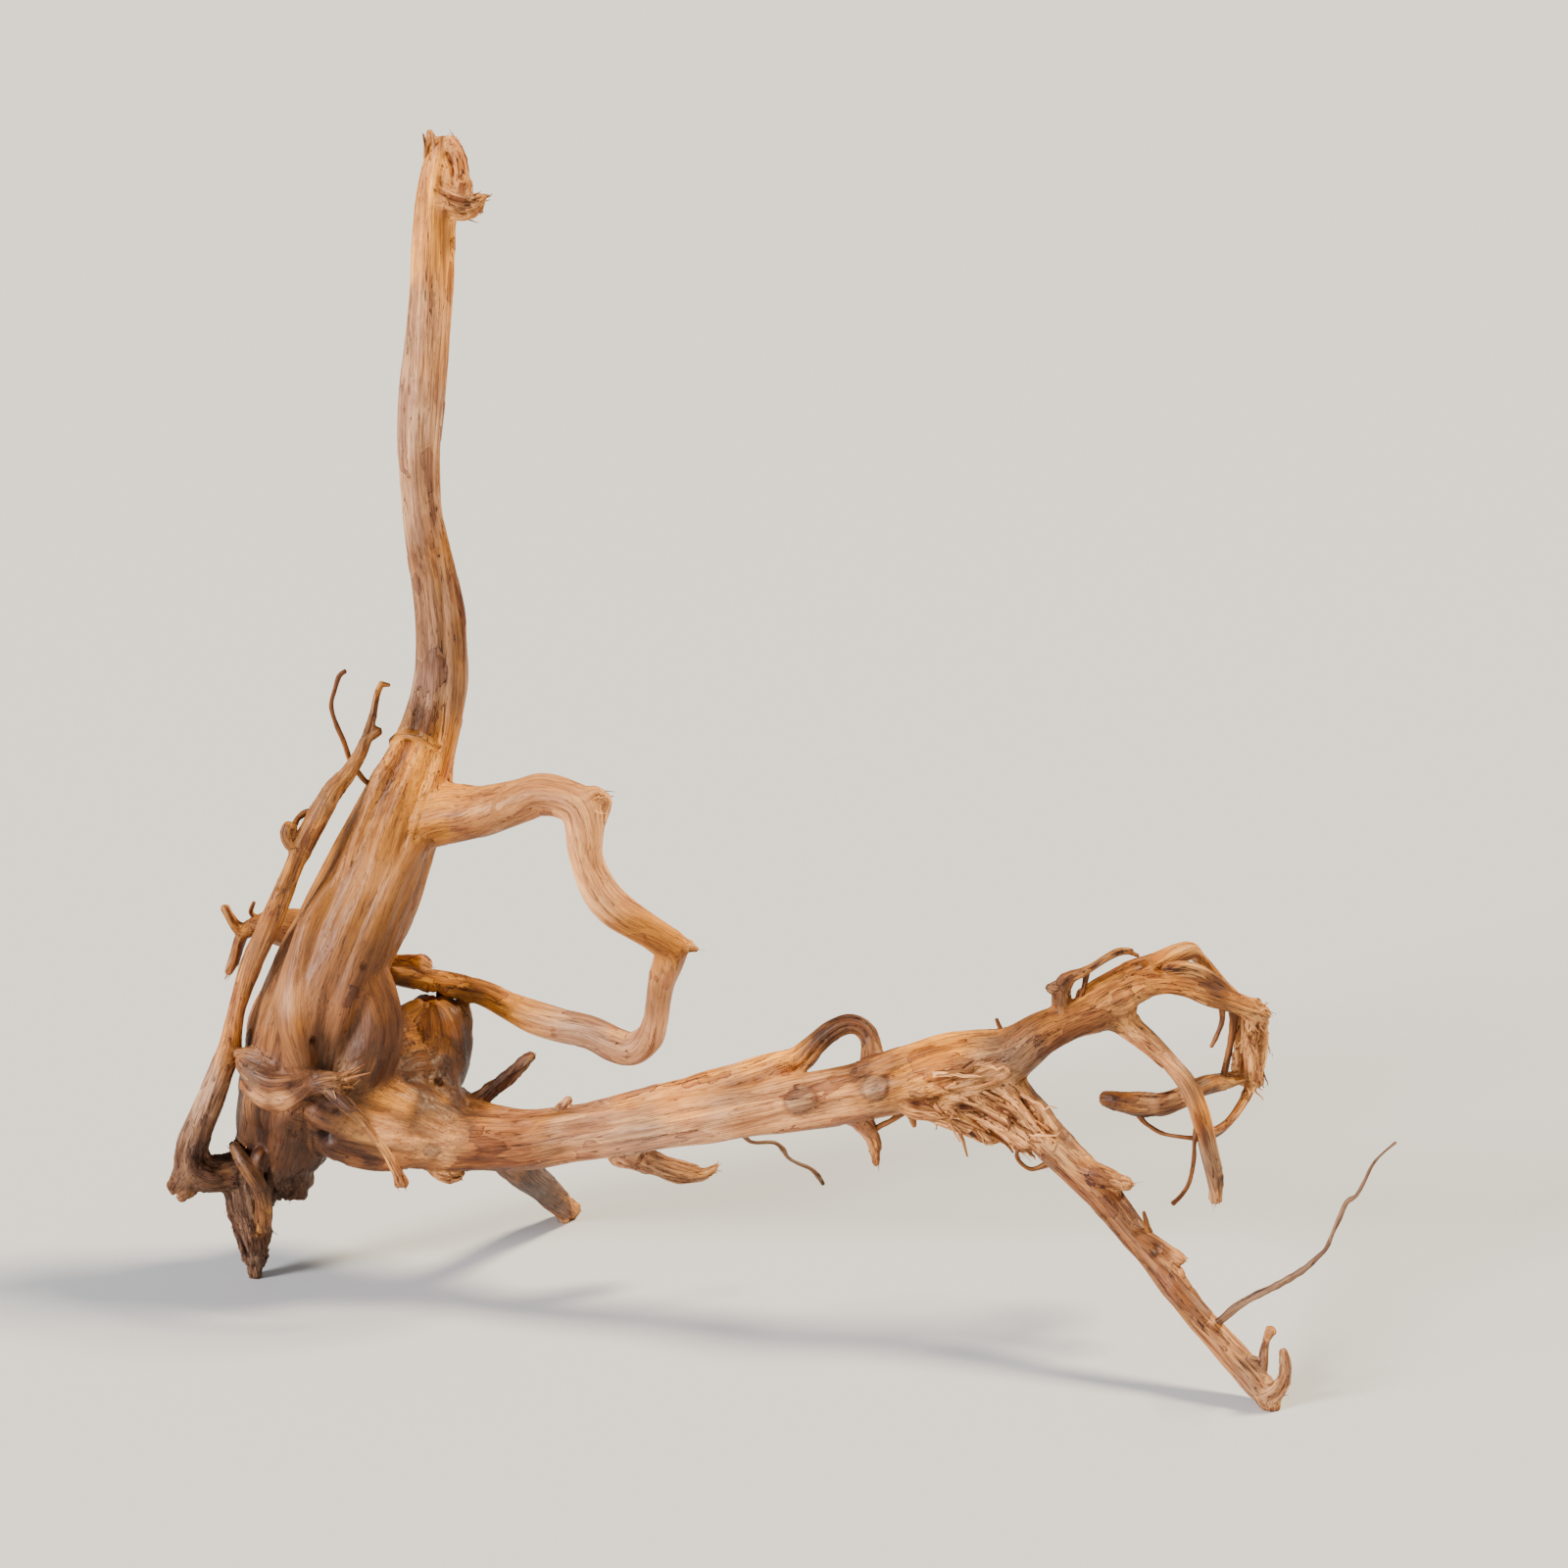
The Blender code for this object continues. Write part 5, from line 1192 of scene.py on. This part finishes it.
def torn_fibres(skeleton, wood):
    skin, normals = corners_of(wood.data), normals_of(wood.data)
    draw = np.random.default_rng(SEED)
    corners, faces, grain = strands(skeleton, skin, normals, draw)
    mesh = bpy.data.meshes.new("bogwood_fibres")
    corners[:, 2] = np.maximum(corners[:, 2], GROUND_CLEARANCE)
    mesh.from_pydata(corners.tolist(), [], faces.tolist())
    mesh.update()
    bm = bmesh.new()
    bm.from_mesh(mesh)
    bmesh.ops.recalc_face_normals(bm, faces=bm.faces)
    bm.to_mesh(mesh)
    bm.free()
    strand_corners = STRAND_POINTS * STRAND_SIDES
    strand = np.repeat(draw.uniform(0, 1, len(corners) // strand_corners), strand_corners)
    colour = np.tile(np.array(FIBRE), (len(corners), 1))
    colour = mixed(colour, TAN, 0.8 * smooth_step(0.2, 0.8, strand))
    colour = mixed(colour, UMBER, 0.7 * smooth_step(0.5, 1.0, strand))
    bark = zone_weight("bark", corners, np.zeros(len(corners)))
    store(mesh, "FLOAT_VECTOR", grain1=grain, grain2=grain)
    wear = np.tile(np.array([0.0, 1.0, 0.0]), (len(corners), 1))
    store(mesh, "FLOAT_COLOR", tone=mixed(colour, BARK, 0.7 * bark), wear=wear)
    store(mesh, "FLOAT", seam=0, pit=0, patch=0, rugged=1)
    return new_object("bogwood_fibres", mesh)


def splinter_stations(ends, reach, half_width, count, draw):
    """Stations of a row of splinters, each a little astray in place, length and lean."""
    first, last = ends
    for i in range(count):
        share = (i + 0.5) / count
        root = [a + (b - a) * share + draw.uniform(-2, 2) for a, b in zip(first, last)]
        length = draw.uniform(0.7, 1.25)
        sway = [draw.uniform(-0.16, 0.16) * sum(map(abs, reach)) for _ in range(3)]
        middle = [r + 0.5 * length * d + 0.2 * s for r, d, s in zip(root, reach, sway)]
        tip = [r + length * d + s for r, d, s in zip(root, reach, sway)]
        yield [(*root, half_width), (*middle, 0.8 * half_width), (*tip, 0.35 * half_width)]


def knotted_twigs():
    """The thin twigs and the larger splinters, each thicker and thinner along its length."""
    twigs = [Limb(name, stations, TWIG_STEP) for name, stations in TWIGS.items()]
    draw = random.Random(SEED)
    for name, (first, last, reach, half_width, count) in SPLINTERS.items():
        for stations in splinter_stations((first, last), reach, half_width, count, draw):
            twigs.append(Limb(name, stations, TWIG_STEP))
    for i, twig in enumerate(twigs):
        along, still = twig.travelled, 0 * twig.travelled
        bumps = noise(np.stack([along, still + i * 0.1, still], 1), 0.0045)
        knots = noise(np.stack([along, still, still + i * 0.13], 1), 0.008, 5.5)
        twig.radii = twig.radii * (1 + 0.13 * bumps + 0.35 * smooth_step(0.45, 0.8, knots))
    return twigs


def thin_twigs():
    """The twigs and splinters as one piece, each sunk in the wood at its root."""
    twigs = knotted_twigs()
    skeleton = Skeleton(twigs)
    mesh = joined_mesh("bogwood_twigs", [twig.skin(TWIG_SIDES) for twig in twigs])
    skin = corners_of(mesh)
    skin[:, 2] = np.maximum(skin[:, 2], GROUND_CLEARANCE)
    set_corners(mesh, skin)
    first = skeleton.nearest(skin)[0]
    grain = skeleton.grain(skin, first)
    height = noise(grain, TWIG_FURROWS, 3.3) * 0.12 * skeleton.radii[first]
    skin = skin + normals_of(mesh) * height[:, None]
    set_corners(mesh, skin)
    owner = skeleton.owner[first]
    torn = np.array([float(twig.name in SPLINTERS) for twig in twigs])[owner]
    pale = np.array([float(twig.name in PALE_TWIGS) for twig in twigs])[owner]
    dark = 0.45 + 0.5 * noise(skin, TWIG_SHADES, 2.4)
    colour = mixed(np.tile(np.array(TAN), (len(skin), 1)), UMBER, np.clip(dark, 0, 1))
    colour = mixed(mixed(colour, FIBRE, 0.55 * torn), GREY, 0.6 * pale)
    store(mesh, "FLOAT_VECTOR", grain1=grain, grain2=grain)
    store(mesh, "FLOAT_COLOR", tone=colour, wear=np.stack([0.25 * (1 - torn), torn, 0 * torn], 1))
    store(mesh, "FLOAT", seam=0, pit=0, patch=patch_field(grain), rugged=1)
    return new_object("bogwood_twigs", mesh)


class Nodes:
    """Short ways to add and link shader nodes."""

    def __init__(self, tree):
        self.tree = tree

    def add(self, kind, inputs=(), **settings):
        node = self.tree.nodes.new("ShaderNode" + kind)
        for name, value in settings.items():
            setattr(node, name, value)
        for name, value in dict(inputs).items():
            self.feed(node.inputs[name], value)
        return node

    def feed(self, socket, value):
        if isinstance(value, bpy.types.NodeSocket):
            self.tree.links.new(value, socket)
        else:
            socket.default_value = value

    def math(self, operation, a, b=0.0, clamp=False):
        return self.add("Math", {0: a, 1: b}, operation=operation, use_clamp=clamp).outputs[0]

    def total(self, value, *terms, clamp=False):
        """A value plus others, each times its share."""
        for share, other in terms:
            inputs = {0: other, 1: share, 2: value}
            value = self.add("Math", inputs, operation="MULTIPLY_ADD", use_clamp=clamp).outputs[0]
        return value

    def near(self, value, middle, outer, inner):
        """How near a value is to the middle: 1 within the inner distance, 0 past the outer one."""
        apart = self.math("ABSOLUTE", self.math("SUBTRACT", value, middle))
        return self.ramp(apart, outer, inner)

    def ramp(self, value, low, high, to_low=0.0, to_high=1.0):
        inputs = {"Value": value, "From Min": low, "From Max": high, "To Min": to_low, "To Max": to_high}
        return self.add("MapRange", inputs, interpolation_type="SMOOTHSTEP").outputs[0]

    def mix(self, share, a, b, blend="MIX"):
        node = self.add("Mix", data_type="RGBA", blend_type=blend)
        for socket, value in ((node.inputs[0], share), (node.inputs[6], a), (node.inputs[7], b)):
            self.feed(socket, value)
        return node.outputs[2]

    def blend(self, share, a, b):
        node = self.add("Mix", data_type="FLOAT")
        for socket, value in ((node.inputs[0], share), (node.inputs[2], a), (node.inputs[3], b)):
            self.feed(socket, value)
        return node.outputs[0]

    def attribute(self, name, output="Fac"):
        return self.add("Attribute", attribute_name=name).outputs[output]

    def grain_noise(self, place_in, scales, detail, warp):
        scaled = self.add("VectorMath", {0: place_in, 1: tuple(1 / s for s in scales)}, operation="MULTIPLY")
        inputs = {"Vector": scaled.outputs[0], "Scale": 1.0, "Detail": detail, "Distortion": warp}
        return self.add("TexNoise", inputs).outputs[0]


def grain_values(nodes, place_in):
    """Streaks, bands, blotches, cracks and mottling of the wood's grain at a place in it."""
    return [nodes.grain_noise(place_in, *look) for _, *look in GRAIN_NOISES]


def wood_material():
    material = bpy.data.materials.new("stripped_wood")
    material.use_nodes = True
    tree = material.node_tree
    tree.nodes.clear()
    nodes = Nodes(tree)
    seam = nodes.attribute("seam")
    pairs = zip(*(grain_values(nodes, nodes.attribute(name, "Vector")) for name in ("grain1", "grain2")))
    fine, medium, blotch, crack, mottle = (nodes.blend(seam, a, b) for a, b in pairs)
    wear = nodes.add("SeparateColor", {"Color": nodes.attribute("wear", "Color")})
    bark, torn, polish = wear.outputs
    rugged = nodes.attribute("rugged")
    pit = nodes.attribute("pit")
    line = nodes.near(crack, 0.5, 0.010, 0.002)
    line = nodes.math("MULTIPLY", line, nodes.ramp(blotch, 0.41, 0.51))
    hair = nodes.near(medium, 0.48, 0.011, 0.003)
    hair = nodes.math("MULTIPLY", hair, nodes.ramp(mottle, 0.44, 0.52))
    patch = nodes.total(nodes.attribute("patch"), (0.5, mottle))
    rim = nodes.near(patch, 0.765, 0.026, 0.006)
    rim = nodes.math("MULTIPLY", rim, nodes.ramp(blotch, 0.38, 0.46))
    patch = nodes.ramp(patch, 0.74, 0.79)

    def shade(low, high, most, value, tint, by=rugged):
        nonlocal colour
        share = nodes.math("MULTIPLY", nodes.ramp(value, low, high, 0.0, most), by, clamp=True)
        colour = nodes.mix(share, colour, (*tint, 1), "MULTIPLY")

    colour = nodes.attribute("tone", "Color")
    shade(0.53, 0.64, 0.75, medium, (0.52, 0.38, 0.30))
    shade(0.48, 0.36, 0.65, medium, (1.45, 1.45, 1.20))
    shade(0.51, 0.62, 0.75, fine, (0.46, 0.36, 0.30))
    shade(0.48, 0.37, 0.50, fine, (1.40, 1.42, 1.30))
    shade(0.53, 0.60, 0.60, blotch, (0.60, 0.46, 0.42))
    shade(0.55, 0.68, 0.40, mottle, (0.62, 0.52, 0.48))
    shade(0.0, 1.0, 0.75, patch, (0.52, 0.42, 0.46), 1.0)
    shade(0.0, 1.0, 0.95, rim, (0.28, 0.19, 0.16), 1.0)
    shade(0.0, 1.0, 0.8, hair, (0.34, 0.24, 0.19))
    shade(0.0, 1.0, 0.92, line, (0.12, 0.08, 0.07))
    # Painted shade in furrows, creases, knot holes and scar grooves
    shade(0.0, 1.0, 0.9, pit, (0.22, 0.13, 0.09))

    rough = nodes.ramp(fine, 0.3, 0.7, 0.46, 0.62)
    rough = nodes.total(rough, (-0.08, polish), (0.35, bark), (0.25, torn), clamp=True)

    height = nodes.total(0.0, (0.7, fine), (0.8, medium), (0.25, mottle), (0.25, patch))
    height = nodes.total(height, (-0.6, line), (-0.25, hair))
    bump = nodes.add("Bump", {"Height": height, "Strength": 0.6, "Distance": 0.0009})
    inputs = {"Base Color": colour, "Roughness": rough, "Normal": bump.outputs[0]}
    surface = nodes.add("BsdfPrincipled", inputs)
    surface.inputs["Coat Weight"].default_value = 0.05
    surface.inputs["Coat Roughness"].default_value = 0.3
    surface.inputs["Specular IOR Level"].default_value = 0.27
    output = nodes.add("OutputMaterial")
    tree.links.new(surface.outputs[0], output.inputs["Surface"])
    return material


def floor_material():
    material = bpy.data.materials.new("floor")
    material.use_nodes = True
    surface = material.node_tree.nodes["Principled BSDF"]
    surface.inputs["Base Color"].default_value = (0.68, 0.70, 0.73, 1)
    surface.inputs["Roughness"].default_value = 0.9
    surface.inputs["Specular IOR Level"].default_value = 0.1
    return material


def make_floor():
    bpy.ops.mesh.primitive_plane_add(size=FLOOR_SIZE)
    floor = bpy.context.object
    floor.name = "floor"
    floor.data.materials.append(floor_material())
    floor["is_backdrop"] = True


def sun_light(name, where_from, width, strength, colour):
    lamp = bpy.data.lights.new(name, "SUN")
    lamp.angle = math.radians(width)
    lamp.energy = strength
    lamp.color = colour
    turn = Vector(where_from).to_track_quat("Z", "Y").to_euler()
    new_object(name, lamp).rotation_euler = turn


def make_light():
    world = bpy.data.worlds.new("studio")
    world.use_nodes = True
    background = world.node_tree.nodes["Background"]
    background.inputs["Color"].default_value = (1, 1, 1, 1)
    background.inputs["Strength"].default_value = WORLD_STRENGTH
    bpy.context.scene.world = world
    for lamp in LAMPS:
        sun_light(*lamp)


def make_camera():
    lens = bpy.data.cameras.new("camera")
    lens.sensor_width = SENSOR
    lens.lens = SENSOR * EYE_DISTANCE / (DRAWING_SIZE * UNIT)
    lens.clip_end = 1000
    camera = new_object("camera", lens)
    camera.location = (
        -FOOTPRINT_CENTRE[0],
        -EYE_DISTANCE * math.cos(EYE_PITCH) - FOOTPRINT_CENTRE[1],
        CENTRE_HEIGHT + EYE_DISTANCE * math.sin(EYE_PITCH),
    )
    camera.rotation_euler = (math.pi / 2 - EYE_PITCH, 0, 0)
    bpy.context.scene.camera = camera


def main():
    limbs = [Limb(name, stations) for name, stations in STOUT.items()]
    skeleton = Skeleton(limbs)
    wood = stout_wood(limbs, skeleton)
    pieces = [wood, torn_fibres(skeleton, wood), thin_twigs()]
    material = wood_material()
    for piece in pieces:
        piece.data.materials.clear()
        piece.data.materials.append(material)
        piece.data.shade_smooth()
        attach(piece, "root")
        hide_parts("bogwood")
    make_floor()
    make_light()
    make_camera()


main()
bounds = [[[float(value) for value in corner] for corner in box] for box in (cad_bounds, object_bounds())]
